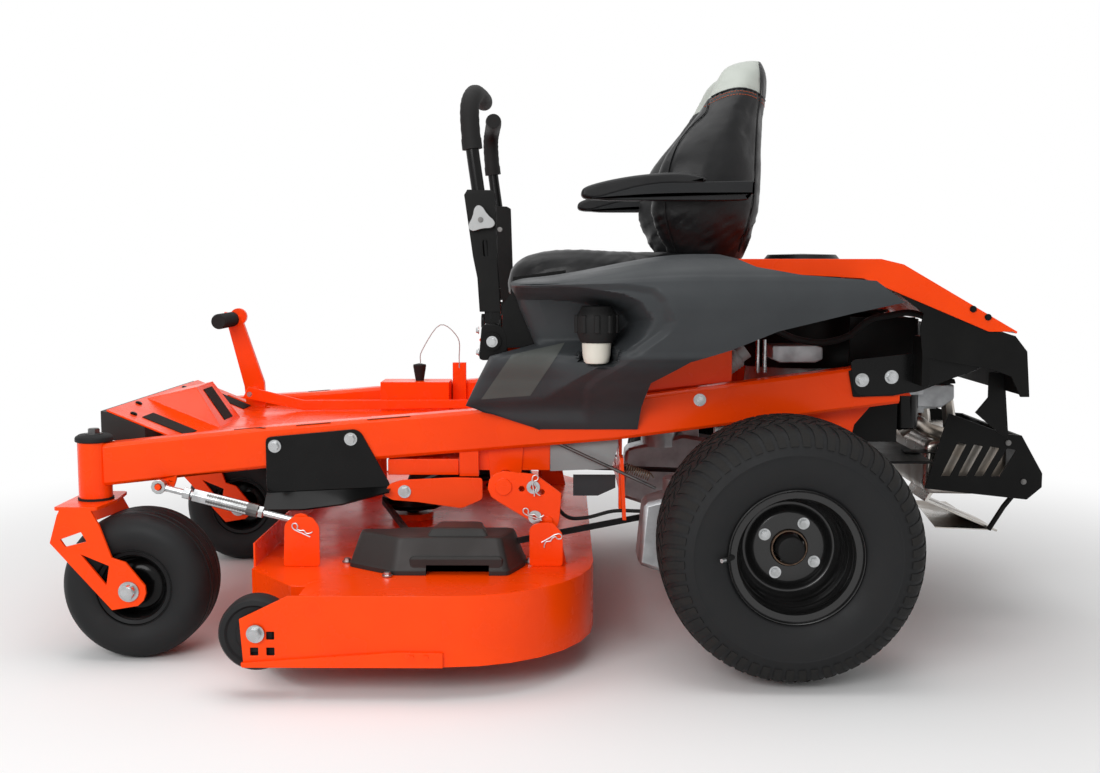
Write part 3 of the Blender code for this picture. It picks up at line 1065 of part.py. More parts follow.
def make_engine():
    x = ENGINE_X
    base = ENGINE_BASE_Z
    case = revolve([(0, base), (0.150, base), (0.150, base + 0.012), (0.118, base + 0.022), (0.125, 0.47),
                    (0.118, SHROUD_Z - GAP), (0, SHROUD_Z - GAP)],
                   (x, 0, 0), "Z", 18)
    for side in (-1, 1):
        head = box((x + 0.06, x + 0.235), sorted((side * 0.05, side * 0.145)), (0.436, 0.512))
        cap = box((x + 0.234, x + 0.262), sorted((side * 0.058, side * 0.137)), (0.444, 0.504))
        case = join(case, head, cap)
    shelf = box((x + 0.10, x + 0.215), (-0.205, -0.10), (OIL_FILTER_TOP + GAP, OIL_FILTER_TOP + 0.016))
    can = [(0, -0.070), (0.024, -0.070), (0.031, -0.062), (0.031, -0.004), (0.026, 0.004), (0, 0.004)]
    filter_can = revolve(can, (x + 0.180, -0.172, OIL_FILTER_TOP), "Z", 12)
    node("engine_block", join(case, shelf, filter_can), ALUMINIUM)
    dome = [(0, SHROUD_Z), (0.160, SHROUD_Z), (0.172, SHROUD_Z + 0.03), (0.170, 0.640), (0.150, 0.672),
            (0.092, 0.690)]
    dome += [(0.086, 0.700), (0.086, 0.752), (0.074, 0.766), (0, 0.768)]
    shroud = revolve(dome, (x, 0, 0), "Z", 16)
    duct = rounded([(x + 0.10, -0.15), (x + 0.225, -0.15), (x + 0.225, 0.15), (x + 0.10, 0.15)], 0.03, 2)
    node("engine_shroud", join(shroud, prism(duct, 0.560, 0.632, "Z")), BLACK_STEEL)
    drum = revolve([(0, -0.130), (MUFFLER_RADIUS - 0.008, -0.130), (MUFFLER_RADIUS, -0.122),
                    (MUFFLER_RADIUS, 0.122), (MUFFLER_RADIUS - 0.008, 0.130), (0, 0.130)],
                   (MUFFLER_X, 0, MUFFLER_Z), "Y", 14)
    for side in (-1, 1):
        start = Vector((x + 0.262 + GAP, side * 0.10, 0.474))
        bend = [start + Vector((0.012, 0, 0)), start + Vector((0.032, 0, -0.012)),
                (MUFFLER_X, side * 0.09, MUFFLER_Z + 0.04)]
        drum = join(drum, pipe([start, *smooth_route(bend, 3)], 0.014, 6))
    low = MUFFLER_Z - MUFFLER_RADIUS
    flap = [(MUFFLER_X - 0.04, low + 0.014), (MUFFLER_X - 0.062, low - 0.024),
            (MUFFLER_X + 0.094, low - 0.090), (MUFFLER_X + 0.096, low - 0.086),
            (MUFFLER_X - 0.054, low - 0.022), (MUFFLER_X - 0.030, low + 0.014)]
    node("muffler", join(drum, prism(flap, -0.12, 0.02)), ZINC)
    make_muffler_guard()


def make_muffler_guard():
    """A slotted plate each side of the muffler, joined round the back."""
    rear = GUARD_REAR_X
    outline = [(rear - 0.196, 0.441), (rear - 0.079, 0.398), (rear - 0.045, 0.395), (rear, 0.316),
               (rear, 0.287), (rear - 0.030, 0.261), (rear - 0.242, 0.284)]
    slots = []
    for k in range(4):
        a = rear - 0.208 + 0.034 * k
        slots.append([(a, 0.310), (a + 0.018, 0.310), (a + 0.050, 0.376 - 0.004 * k),
                      (a + 0.032, 0.380 - 0.004 * k)])
    half = MUFFLER_GUARD_HALF
    edge = [(rear - 0.045, 0.395), (rear, 0.316), (rear, 0.287), (rear - 0.004, 0.287),
            (rear - 0.004, 0.315), (rear - 0.049, 0.393)]
    guard = prism(edge, -half, half)
    top = ENGINE_BASE_Z
    for side in (-1, 1):
        wall = sorted((side * half, side * (half - SHEET)))
        guard = join(guard, prism(outline, *wall, "Y", slots))
        foot = box((ENGINE_PLATE_REAR_X - 0.03, rear - 0.19), sorted((side * half, side * (half - 0.03))),
                   (top, top + SHEET))
        guard = join(guard, foot)
    node("muffler_guard", guard, BLACK_STEEL)


def make_transaxles():
    for name, side in SIDES:
        axle = REAR_TYRE_RADIUS
        near, far = TRANSAXLE_Y - TRANSAXLE_WIDTH / 2, TRANSAXLE_Y + TRANSAXLE_WIDTH / 2
        outline = [(-0.262, axle - 0.070), (-0.200, axle - 0.090), (-0.03, axle - 0.080),
                   *arc((0, axle), 0.068, -70, 80, 6)]
        outline += [(-0.110, axle + 0.086), (-0.250, axle + 0.050)]
        case = prism(outline, *sorted((side * near, side * far)))
        bmesh.ops.bevel(case, geom=[e for e in case.edges if e.calc_face_angle(0) > 1.2], offset=0.008,
                        segments=1, affect="EDGES")
        horn_end = REAR_Y - REAR_RIM_WIDTH / 2 - GAP
        horn = cylinder((0, 0, axle), 0.036, *sorted((side * (far - 0.01), side * horn_end)), "Y", 14)
        x = -0.090
        under = rail_top(x - 0.02) - RAIL_HEIGHT - GAP
        post = box((x - 0.02, x + 0.02), sorted((side * RAIL_INNER_Y, side * (RAIL_INNER_Y + 0.03))),
                   (axle + 0.05, under))
        fan = cylinder((-0.165, side * (TRANSAXLE_Y - 0.01), 0), 0.046, axle + 0.055, axle + 0.092, "Z", 14)
        node(f"transaxle_{name}", join(case, horn, post, fan), ALUMINIUM)


def make_height_pin():
    base = FLOOR_HEIGHT + 0.067 + GAP
    pin = [(0, FLOOR_HEIGHT + 0.014), (PIN_RADIUS, FLOOR_HEIGHT + 0.014), (PIN_RADIUS, base), (0.013, base),
           (0.011, base + 0.012)]
    pin += [(0.017, base + 0.036), (0.014, base + 0.041), (0, base + 0.042)]
    node("height_pin", revolve(pin, (PIN_X, PIN_Y, 0), "Z", 12), RUBBER, (PIN_X, PIN_Y, base))
    tie = (-0.6585, 0.2955 - LANYARD_RADIUS, FLOOR_HEIGHT + 0.095)
    start = (PIN_X + 0.002, PIN_Y, base + 0.042 + GAP)
    route = [start, (PIN_X + 0.006, PIN_Y, start[2] + 0.030),
             (PIN_X + 0.050, PIN_Y + 0.006, start[2] + 0.092),
             (PIN_X + 0.092, PIN_Y + 0.014, start[2] + 0.060), (tie[0], tie[1] - 0.002, tie[2] + 0.025), tie]
    line = bpy.data.curves.new("pin_lanyard", "CURVE")
    line.dimensions = "3D"
    line.bevel_depth = LANYARD_RADIUS
    line.bevel_resolution = 2
    line.use_fill_caps = True
    points = smooth_route(route, 3)
    spline = line.splines.new("POLY")
    spline.points.add(len(points) - 1)
    for point, place in zip(spline.points, points):
        point.co = (*place, 1)
    finish = bpy.data.materials.new("pin_lanyard")
    finish.use_nodes = True
    finish.node_tree.nodes["Principled BSDF"].inputs["Metallic"].default_value = 1
    line.materials.append(finish)
    made = bpy.data.objects.new("pin_lanyard", line)
    made.parent = root
    bpy.context.collection.objects.link(made)


make_drive_wheels()
make_casters()
make_frame()
make_footwell()
make_deck()
make_belt()
make_lift()
make_levers()
make_seat()
make_fenders()
make_rear_body()
make_engine()
make_transaxles()
make_height_pin()
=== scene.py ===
"""Looks of a zero turn mower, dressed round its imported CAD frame.

Shapes are drawn in the machine's own frame, in metres: X runs from the rear axle (front is
-X), Y from the centre plane (the rider's left is -Y), Z from the ground. piece() moves each
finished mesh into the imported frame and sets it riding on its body.
"""

import json
import math

import bmesh
import bpy
from mathutils import Matrix, Vector, noise
from mathutils.bvhtree import BVHTree
from mathutils.kdtree import KDTree


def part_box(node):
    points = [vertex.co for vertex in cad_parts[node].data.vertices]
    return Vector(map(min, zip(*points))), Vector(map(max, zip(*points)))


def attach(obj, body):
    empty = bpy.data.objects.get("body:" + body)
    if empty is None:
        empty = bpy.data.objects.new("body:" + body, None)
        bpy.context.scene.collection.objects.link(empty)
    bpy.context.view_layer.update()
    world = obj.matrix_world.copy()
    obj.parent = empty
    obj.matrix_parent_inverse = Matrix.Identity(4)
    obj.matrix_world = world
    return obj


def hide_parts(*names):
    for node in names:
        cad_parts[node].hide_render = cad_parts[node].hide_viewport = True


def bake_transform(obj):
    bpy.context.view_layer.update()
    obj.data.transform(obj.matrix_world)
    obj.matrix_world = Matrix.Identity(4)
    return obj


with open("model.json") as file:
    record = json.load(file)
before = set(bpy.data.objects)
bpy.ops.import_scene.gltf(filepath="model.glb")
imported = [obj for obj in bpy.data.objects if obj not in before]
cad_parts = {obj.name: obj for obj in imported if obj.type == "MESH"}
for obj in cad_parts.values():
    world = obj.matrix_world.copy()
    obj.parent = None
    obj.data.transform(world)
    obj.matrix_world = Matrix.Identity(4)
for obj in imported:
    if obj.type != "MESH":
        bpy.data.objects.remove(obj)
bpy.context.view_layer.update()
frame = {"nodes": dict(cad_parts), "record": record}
BODIES = frame["record"]["behaviour"]["bodies"]
BODY_OF = {member: body for body, members in BODIES.items() for member in members}
SIDES = (("left", -1), ("right", 1))


def middle_of(node):
    low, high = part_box(node)
    return (low + high) / 2


SHIFT = (middle_of("drive_tyre_left") + middle_of("drive_tyre_right")) / 2
SHIFT.z = 0

# Sizes shared with the CAD source
REAR_AXLE_Z = 0.241
REAR_Y = 0.5175
CASTER_X = -1.213
CASTER_Y = 0.395
CASTER_Z = 0.140
PIVOT_X = -1.299
DECK_TOP = 0.182
DECK_HALF = 0.660
FLOOR_Z = 0.397
LEVER_X = -0.540
LEVER_Y = 0.355
LEVER_Z = 0.600


# Mesh helpers

def solid(points_of_rings, closed_round=True, caps=True):
    """A mesh skinned over rings of equal length; without caps the last ring meets the first."""
    mesh = bmesh.new()
    rings = [[mesh.verts.new(p) for p in ring] for ring in points_of_rings]
    count = len(rings[0])
    for first, second in zip(rings, rings[1:] + ([] if caps else rings[:1])):
        for i in range(count if closed_round else count - 1):
            j = (i + 1) % count
            mesh.faces.new((first[i], first[j], second[j], second[i]))
    if caps:
        mesh.faces.new(rings[0])
        mesh.faces.new(rings[-1])
    bmesh.ops.recalc_face_normals(mesh, faces=mesh.faces)
    return mesh


def to_space(axis, a, b, along):
    """A point of a flat drawing set at a distance along its axis."""
    return {"X": (along, a, b), "Y": (a, along, b), "Z": (a, b, along)}[axis]


def prism(outline, low, high, axis="Y", holes=()):
    """A flat outline, with any holes, pushed from low to high along an axis."""
    mesh = bmesh.new()
    for loop in (outline, *holes):
        verts = [mesh.verts.new(to_space(axis, a, b, low)) for a, b in loop]
        for one, two in zip(verts, verts[1:] + verts[:1]):
            mesh.edges.new((one, two))
    bmesh.ops.triangle_fill(mesh, edges=mesh.edges[:], use_beauty=True)
    grown = bmesh.ops.extrude_face_region(mesh, geom=mesh.faces[:])
    moved = [item for item in grown["geom"] if isinstance(item, bmesh.types.BMVert)]
    bmesh.ops.translate(mesh, verts=moved, vec=to_space(axis, 0, 0, high - low))
    bmesh.ops.recalc_face_normals(mesh, faces=mesh.faces)
    return mesh


def revolve(profile, centre, axis="Y", segments=64):
    """A (radius, along) profile spun about an axis; ends at radius 0 become points."""
    mesh = bmesh.new()
    rings = []
    for radius, along in profile:
        steps = 1 if radius == 0 else segments
        turns = [2 * math.pi * i / segments for i in range(steps)]
        places = [to_space(axis, radius * math.cos(t), radius * math.sin(t), along) for t in turns]
        rings.append([mesh.verts.new(Vector(p) + Vector(centre)) for p in places])
    touches_axis = profile[0][0] == 0
    for first, second in zip(rings, rings[1:] + ([] if touches_axis else rings[:1])):
        for i in range(segments):
            j = (i + 1) % segments
            corners = [first[i % len(first)], first[j % len(first)]]
            corners += [second[j % len(second)], second[i % len(second)]]
            mesh.faces.new(list(dict.fromkeys(corners)))
    bmesh.ops.recalc_face_normals(mesh, faces=mesh.faces)
    return mesh


def circle(centre, radius, count=24):
    turns = [2 * math.pi * i / count for i in range(count)]
    return [(centre[0] + radius * math.cos(t), centre[1] + radius * math.sin(t)) for t in turns]


def arc(centre, radius, start, end, count):
    """Points along an arc, from start to end in degrees."""
    turns = [math.radians(start + (end - start) * i / count) for i in range(count + 1)]
    return [(centre[0] + radius * math.cos(t), centre[1] + radius * math.sin(t)) for t in turns]


def rounded(outline, radius, steps=4):
    """An outline with every corner rounded by the same radius."""
    made = []
    for i, corner in enumerate(outline):
        here = Vector(corner)
        before = Vector(outline[i - 1]) - here
        after = Vector(outline[(i + 1) % len(outline)]) - here
        reach = min(radius, 0.45 * before.length, 0.45 * after.length)
        start = here + before.normalized() * reach
        end = here + after.normalized() * reach
        for k in range(steps + 1):
            t = k / steps
            made.append(tuple(start * (1 - t) ** 2 + here * (2 * t * (1 - t)) + end * t * t))
    return made


def smooth_route(points, per_span=8):
    """Points read from a smooth curve through a route's points."""
    route = [Vector(p) for p in points]
    route = [2 * route[0] - route[1], *route, 2 * route[-1] - route[-2]]
    made = []
    for a, b, c, d in zip(route, route[1:], route[2:], route[3:]):
        for k in range(per_span):
            t = k / per_span
            bend = (2 * a - 5 * b + 4 * c - d) * t * t + (3 * b - a - 3 * c + d) * t ** 3
            made.append(0.5 * (2 * b + (c - a) * t + bend))
    return made + [route[-2]]


def pipe(points, radius, sides=16):
    """A round bar swept along a route; radius is one size or one for each point."""
    route = [Vector(p) for p in points]
    sizes = radius if isinstance(radius, (list, tuple)) else [radius] * len(route)
    rings = []
    side = None
    for i, here in enumerate(route):
        ahead = (route[min(i + 1, len(route) - 1)] - route[max(i - 1, 0)]).normalized()
        side = ahead.orthogonal().normalized() if side is None else side
        side = (side - ahead * side.dot(ahead)).normalized()
        other = ahead.cross(side)
        turns = [2 * math.pi * k / sides for k in range(sides)]
        rings.append([here + sizes[i] * (math.cos(t) * side + math.sin(t) * other) for t in turns])
    return solid(rings)


def merged(*meshes):
    """Several closed meshes as one, left as separate shells."""
    made = bmesh.new()
    for mesh in meshes:
        data = bpy.data.meshes.new("helper")
        mesh.to_mesh(data)
        mesh.free()
        made.from_mesh(data)
        bpy.data.meshes.remove(data)
    return made


def mirrored(mesh, side):
    """The left-hand mesh, or its mirror image on the right."""
    if side > 0:
        bmesh.ops.scale(mesh, vec=(1, -1, 1), verts=mesh.verts)
        bmesh.ops.reverse_faces(mesh, faces=mesh.faces)
    return mesh


def soften(mesh, width, angle=38, segments=2):
    """Round every edge that is sharper than an angle and long enough to take the round."""
    limit = math.radians(angle)

    def roomy(edge):
        near = [e for v in edge.verts for e in v.link_edges if e.calc_face_angle(0) > limit]
        return all(e.calc_length() > 2.4 * width for e in near)

    edges = [e for e in mesh.edges if len(e.link_faces) == 2 and e.calc_face_angle(0) > limit]
    edges = [e for e in edges if roomy(e)]
    bmesh.ops.bevel(mesh, geom=edges, offset=width, segments=segments, profile=0.5,
                    affect="EDGES", clamp_overlap=False)
    return mesh


def piece(name, mesh, finish, body, stands_for=(), smooth=38, moved=True):
    """A finished mesh as a named object, shaded smooth and riding on its body."""
    if moved:
        bmesh.ops.translate(mesh, verts=mesh.verts, vec=SHIFT)
    for face in mesh.faces:
        face.smooth = True
    for edge in mesh.edges:
        edge.smooth = edge.calc_face_angle(0) < math.radians(smooth)
    data = bpy.data.meshes.new(name)
    mesh.to_mesh(data)
    mesh.free()
    data.materials.append(FINISHES[finish])
    made = bpy.data.objects.new(name, data)
    bpy.context.scene.collection.objects.link(made)
    evened = made.modifiers.new("even shading", "WEIGHTED_NORMAL")
    evened.keep_sharp = True
    graph = bpy.context.evaluated_depsgraph_get()
    plain = bpy.data.meshes.new_from_object(made.evaluated_get(graph))
    made.modifiers.clear()
    made.data = plain
    made.name = name
    if body:
        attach(made, body)
    for node in stands_for:
        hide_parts(node)
    return made


def dress(node, finish, round_off=0.0012, smooth=38):
    """A CAD node's own shape with its edges rounded off and a real finish."""
    mesh = bmesh.new()
    mesh.from_mesh(frame["nodes"][node].data)
    bmesh.ops.remove_doubles(mesh, verts=mesh.verts, dist=1e-5)
    bmesh.ops.dissolve_limit(mesh, angle_limit=math.radians(0.4), verts=mesh.verts, edges=mesh.edges)
    if round_off:
        soften(mesh, round_off, smooth)
    return piece(f"{node}_skin", mesh, finish, BODY_OF[node], [node], smooth, moved=False)


# Finishes

def shader_group(name, inputs, outputs):
    """An empty shader node group with named sockets, and its two end nodes."""
    tree = bpy.data.node_groups.new(name, "ShaderNodeTree")
    for label, kind in inputs:
        tree.interface.new_socket(label, in_out="INPUT", socket_type=kind)
    for label, kind in outputs:
        tree.interface.new_socket(label, in_out="OUTPUT", socket_type=kind)
    return tree, tree.nodes.new("NodeGroupInput"), tree.nodes.new("NodeGroupOutput")


def grain_group():
    """Fine surface relief: soft noise, or the cells of leathery grain."""
    tree, given, out = shader_group(
        "surface_grain",
        [("Vector", "NodeSocketVector"), ("Scale", "NodeSocketFloat"), ("Cells", "NodeSocketFloat")],
        [("Height", "NodeSocketFloat")])
    speckle = tree.nodes.new("ShaderNodeTexNoise")
    speckle.inputs["Detail"].default_value = 3
    cells = tree.nodes.new("ShaderNodeTexVoronoi")
    cells.feature = "SMOOTH_F1"
    mix = tree.nodes.new("ShaderNodeMix")
    for texture in (speckle, cells):
        tree.links.new(given.outputs["Vector"], texture.inputs["Vector"])
        tree.links.new(given.outputs["Scale"], texture.inputs["Scale"])
    tree.links.new(given.outputs["Cells"], mix.inputs["Factor"])
    tree.links.new(speckle.outputs["Fac"], mix.inputs["A"])
    tree.links.new(cells.outputs["Distance"], mix.inputs["B"])
    tree.links.new(mix.outputs["Result"], out.inputs["Height"])
    return tree


def patch_group():
    """Broad, faint patches: a second tone in the colour and an uneven gloss."""
    tree, given, out = shader_group(
        "tone_patches",
        [("Vector", "NodeSocketVector"), ("Scale", "NodeSocketFloat"), ("First", "NodeSocketColor"),
         ("Second", "NodeSocketColor"), ("Least", "NodeSocketFloat"), ("Most", "NodeSocketFloat")],
        [("Colour", "NodeSocketColor"), ("Roughness", "NodeSocketFloat")])
    cloud = tree.nodes.new("ShaderNodeTexNoise")
    cloud.inputs["Detail"].default_value = 5
    spread = tree.nodes.new("ShaderNodeMapRange")
    spread.inputs["From Min"].default_value = 0.36
    spread.inputs["From Max"].default_value = 0.64
    tint = tree.nodes.new("ShaderNodeMix")
    tint.data_type = "RGBA"
    gloss = tree.nodes.new("ShaderNodeMix")
    links = tree.links
    links.new(given.outputs["Vector"], cloud.inputs["Vector"])
    links.new(given.outputs["Scale"], cloud.inputs["Scale"])
    links.new(cloud.outputs["Fac"], spread.inputs["Value"])
    for node in (tint, gloss):
        links.new(spread.outputs["Result"], node.inputs["Factor"])
    colours = [s for s in tint.inputs if s.type == "RGBA"]
    links.new(given.outputs["First"], colours[0])
    links.new(given.outputs["Second"], colours[1])
    links.new(given.outputs["Least"], gloss.inputs["A"])
    links.new(given.outputs["Most"], gloss.inputs["B"])
    links.new([s for s in tint.outputs if s.type == "RGBA"][0], out.inputs["Colour"])
    links.new(gloss.outputs["Result"], out.inputs["Roughness"])
    return tree


GRAIN = grain_group()
PATCHES = patch_group()


def finish(name, colour, rough, second=None, metallic=0.0, patch=12.0, spread=0.05, grain=700.0,
           cells=0.0, depth=0.05, coat=0.0, shine=0.3, stretch=(1, 1, 1)):
    """A material with patchy colour and gloss and fine relief, all on Object coordinates."""
    made = bpy.data.materials.new(name)
    made.use_nodes = True
    tree = made.node_tree
    shader = tree.nodes["Principled BSDF"]
    shader.inputs["Metallic"].default_value = metallic
    shader.inputs["Specular IOR Level"].default_value = shine
    shader.inputs["Coat Weight"].default_value = coat
    shader.inputs["Coat Roughness"].default_value = 0.06
    place = tree.nodes.new("ShaderNodeTexCoord")
    mapping = tree.nodes.new("ShaderNodeMapping")
    mapping.inputs["Scale"].default_value = stretch
    tree.links.new(place.outputs["Object"], mapping.inputs["Vector"])
    tone = tree.nodes.new("ShaderNodeGroup")
    tone.node_tree = PATCHES
    tone.inputs["Scale"].default_value = patch
    tone.inputs["First"].default_value = (*colour, 1)
    tone.inputs["Second"].default_value = (*(second or [0.86 * c for c in colour]), 1)
    tone.inputs["Least"].default_value = rough - spread
    tone.inputs["Most"].default_value = rough + spread
    relief = tree.nodes.new("ShaderNodeGroup")
    relief.node_tree = GRAIN
    relief.inputs["Scale"].default_value = grain
    relief.inputs["Cells"].default_value = cells
    bump = tree.nodes.new("ShaderNodeBump")
    bump.inputs["Strength"].default_value = depth
    bump.inputs["Distance"].default_value = 0.001
    for group in (tone, relief):
        tree.links.new(mapping.outputs["Vector"], group.inputs["Vector"])
    tree.links.new(tone.outputs["Colour"], shader.inputs["Base Color"])
    tree.links.new(tone.outputs["Roughness"], shader.inputs["Roughness"])
    tree.links.new(relief.outputs["Height"], bump.inputs["Height"])
    tree.links.new(bump.outputs["Normal"], shader.inputs["Normal"])
    return made


FINISHES = {made.name: made for made in (
    finish("orange_enamel", (0.98, 0.064, 0.0008), 0.26, (0.94, 0.057, 0.0008), coat=0.05, depth=0.012, grain=260,
           shine=0.16),
    finish("black_powder_coat", (0.0050, 0.0050, 0.0049), 0.36, (0.0075, 0.0075, 0.0072), depth=0.10, grain=1400,
           shine=0.10),
    finish("gloss_black", (0.0035, 0.0035, 0.0035), 0.20, (0.0050, 0.0050, 0.0050), depth=0.02, shine=0.16),
    finish("rim_enamel", (0.0050, 0.0050, 0.0050), 0.22, (0.0065, 0.0065, 0.0065), depth=0.02, shine=0.55),
    finish("fender_plastic", (0.0400, 0.0440, 0.0470), 0.46, (0.035, 0.0385, 0.0415), depth=0.16, grain=1500, cells=0.5,
           shine=0.22),
    finish("fender_pad", (0.088, 0.094, 0.088), 0.60, (0.080, 0.085, 0.080), depth=0.30, grain=900, cells=0.6,
           shine=0.22),
    finish("belt_cover_plastic", (0.026, 0.0245, 0.0235), 0.45, (0.022, 0.021, 0.020), depth=0.14, grain=1300,
           cells=0.4, shine=0.22),
    finish("tyre_rubber", (0.0105, 0.0110, 0.0118), 0.62, (0.0150, 0.0150, 0.0155), patch=20, spread=0.10, depth=0.10,
           grain=800, shine=0.2),
    finish("tread_rubber", (0.012, 0.012, 0.012), 0.74, (0.018, 0.017, 0.016), patch=40, spread=0.08, depth=0.20,
           grain=900, shine=0.2),
    # Near-black and matt: painted shade for the gaps between the tread lugs
    finish("tread_gap_painted_shade", (0.0022, 0.0022, 0.0022), 0.90, (0.0030, 0.0030, 0.0030), depth=0.10, shine=0.05),
    finish("grip_rubber", (0.009, 0.009, 0.009), 0.66, (0.012, 0.0115, 0.0115), depth=0.22, grain=1500, shine=0.2),
    finish("seat_vinyl", (0.0060, 0.0062, 0.0068), 0.36, (0.0090, 0.0092, 0.0098), patch=22, spread=0.08, depth=0.22,
           grain=900, cells=0.8, shine=0.24),
    finish("arm_plastic", (0.010, 0.011, 0.012), 0.42, (0.012, 0.013, 0.014), depth=0.14, grain=1300, cells=0.5,
           shine=0.22),
    finish("stitch_thread", (0.50, 0.10, 0.030), 0.70, depth=0.3, grain=2500),
    finish("pale_thread", (0.42, 0.40, 0.36), 0.70, depth=0.3, grain=2500),
    finish("zinc_plate", (0.50, 0.51, 0.52), 0.30, (0.38, 0.39, 0.39), metallic=1, patch=60, spread=0.08, depth=0.05),
    finish("steel_wire", (0.70, 0.70, 0.70), 0.35, (0.60, 0.60, 0.60), metallic=1, patch=80, depth=0.05),
    finish("dark_steel", (0.16, 0.155, 0.15), 0.42, (0.10, 0.10, 0.10), metallic=1, patch=50, depth=0.08),
    finish("cast_aluminium", (0.44, 0.45, 0.46), 0.50, (0.36, 0.37, 0.38), metallic=1, patch=40, depth=0.30, grain=900),
    finish("muffler_steel", (0.52, 0.50, 0.47), 0.32, (0.36, 0.31, 0.26), metallic=1, patch=14, spread=0.09,
           depth=0.08, grain=500),
    finish("natural_poly", (0.72, 0.70, 0.62), 0.42, (0.66, 0.63, 0.55), depth=0.06),
    finish("knob_nylon", (0.44, 0.45, 0.45), 0.45, (0.40, 0.41, 0.41), depth=0.10, grain=1200),
    finish("rusted_edge", (0.20, 0.13, 0.085), 0.55, (0.12, 0.08, 0.06), metallic=0.6, patch=120, depth=0.3),
    finish("grip_strip", (0.012, 0.011, 0.010), 0.85, (0.022, 0.020, 0.018), patch=300, depth=0.8, grain=1600,
           shine=0.15),
    finish("grey_panel", (0.30, 0.31, 0.31), 0.50, (0.25, 0.26, 0.26), patch=10, depth=0.10),
)}


# Geometry Nodes trees for what repeats

def geometry_tree(name, inputs):
    """An empty Geometry Nodes tree with named inputs, and its two end nodes."""
    tree = bpy.data.node_groups.new(name, "GeometryNodeTree")
    for label, kind in [("Geometry", "NodeSocketGeometry"), *inputs, ("Finish", "NodeSocketMaterial")]:
        tree.interface.new_socket(label, in_out="INPUT", socket_type=kind)
    tree.interface.new_socket("Geometry", in_out="OUTPUT", socket_type="NodeSocketGeometry")
    return tree, tree.nodes.new("NodeGroupInput"), tree.nodes.new("NodeGroupOutput")


def end_tree(tree, given, out, made):
    """Realize the copies and give them their finish, as the last two steps of a tree."""
    real = tree.nodes.new("GeometryNodeRealizeInstances")
    coat = tree.nodes.new("GeometryNodeSetMaterial")
    tree.links.new(made, real.inputs["Geometry"])
    tree.links.new(real.outputs["Geometry"], coat.inputs["Geometry"])
    tree.links.new(given.outputs["Finish"], coat.inputs["Material"])
    tree.links.new(coat.outputs["Geometry"], out.inputs["Geometry"])
    return tree


def ring_tree():
    """Copies a shape a number of times round the Y axis."""
    tree, given, out = geometry_tree("ring_of_shapes", [("Count", "NodeSocketInt")])
    line = tree.nodes.new("GeometryNodeMeshLine")
    line.inputs["Offset"].default_value = (0, 0, 0)
    index = tree.nodes.new("GeometryNodeInputIndex")
    step = tree.nodes.new("ShaderNodeMath")
    step.operation = "DIVIDE"
    step.inputs[0].default_value = 2 * math.pi
    angle = tree.nodes.new("ShaderNodeMath")
    angle.operation = "MULTIPLY"
    turn = tree.nodes.new("ShaderNodeCombineXYZ")
    copies = tree.nodes.new("GeometryNodeInstanceOnPoints")
    tree.links.new(given.outputs["Count"], line.inputs["Count"])
    tree.links.new(given.outputs["Count"], step.inputs[1])
    tree.links.new(step.outputs[0], angle.inputs[0])
    tree.links.new(index.outputs[0], angle.inputs[1])
    tree.links.new(angle.outputs[0], turn.inputs["Y"])
    tree.links.new(line.outputs["Mesh"], copies.inputs["Points"])
    tree.links.new(given.outputs["Geometry"], copies.inputs["Instance"])
    tree.links.new(turn.outputs[0], copies.inputs["Rotation"])
    return end_tree(tree, given, out, copies.outputs["Instances"])


def disc_node(tree, corners, radius, low, high):
    """A round or cornered disc between two heights, inside a tree."""
    disc = tree.nodes.new("GeometryNodeMeshCylinder")
    disc.inputs["Vertices"].default_value = corners
    disc.inputs["Radius"].default_value = radius
    disc.inputs["Depth"].default_value = high - low
    lift = tree.nodes.new("GeometryNodeTransform")
    lift.inputs["Translation"].default_value = (0, 0, (low + high) / 2)
    tree.links.new(disc.outputs["Mesh"], lift.inputs["Geometry"])
    return lift.outputs["Geometry"]


def stud_tree(name, discs):
    """Sets a small turned shape on every point, along the point's aim and at its size."""
    tree, given, out = geometry_tree(name, [])
    shape = tree.nodes.new("GeometryNodeJoinGeometry")
    for disc in discs:
        tree.links.new(disc_node(tree, *disc), shape.inputs["Geometry"])
    read = {}
    for label, kind in (("aim", "FLOAT_VECTOR"), ("size", "FLOAT")):
        read[label] = tree.nodes.new("GeometryNodeInputNamedAttribute")
        read[label].data_type = kind
        read[label].inputs["Name"].default_value = label
    turn = tree.nodes.new("FunctionNodeAlignRotationToVector")
    turn.axis = "Z"
    copies = tree.nodes.new("GeometryNodeInstanceOnPoints")
    tree.links.new(read["aim"].outputs["Attribute"], turn.inputs["Vector"])
    tree.links.new(given.outputs["Geometry"], copies.inputs["Points"])
    tree.links.new(shape.outputs["Geometry"], copies.inputs["Instance"])
    tree.links.new(turn.outputs["Rotation"], copies.inputs["Rotation"])
    tree.links.new(read["size"].outputs["Attribute"], copies.inputs["Scale"])
    return end_tree(tree, given, out, copies.outputs["Instances"])


RING = ring_tree()
# Discs are (corners, radius, low, high) in head radii
HEX_BOLT = stud_tree("hex_bolts", [(24, 1.42, -0.10, 0.22), (6, 1.0, 0.22, 0.92), (20, 0.80, 0.92, 1.02)])
ROUND_HEAD = stud_tree("round_heads", [(20, 1.0, -0.2, 0.32), (20, 0.86, 0.32, 0.50), (16, 0.60, 0.50, 0.62)])
STITCH = stud_tree("stitches", [(6, 0.30, -1.0, 1.0), (6, 0.18, -1.2, 1.2)])


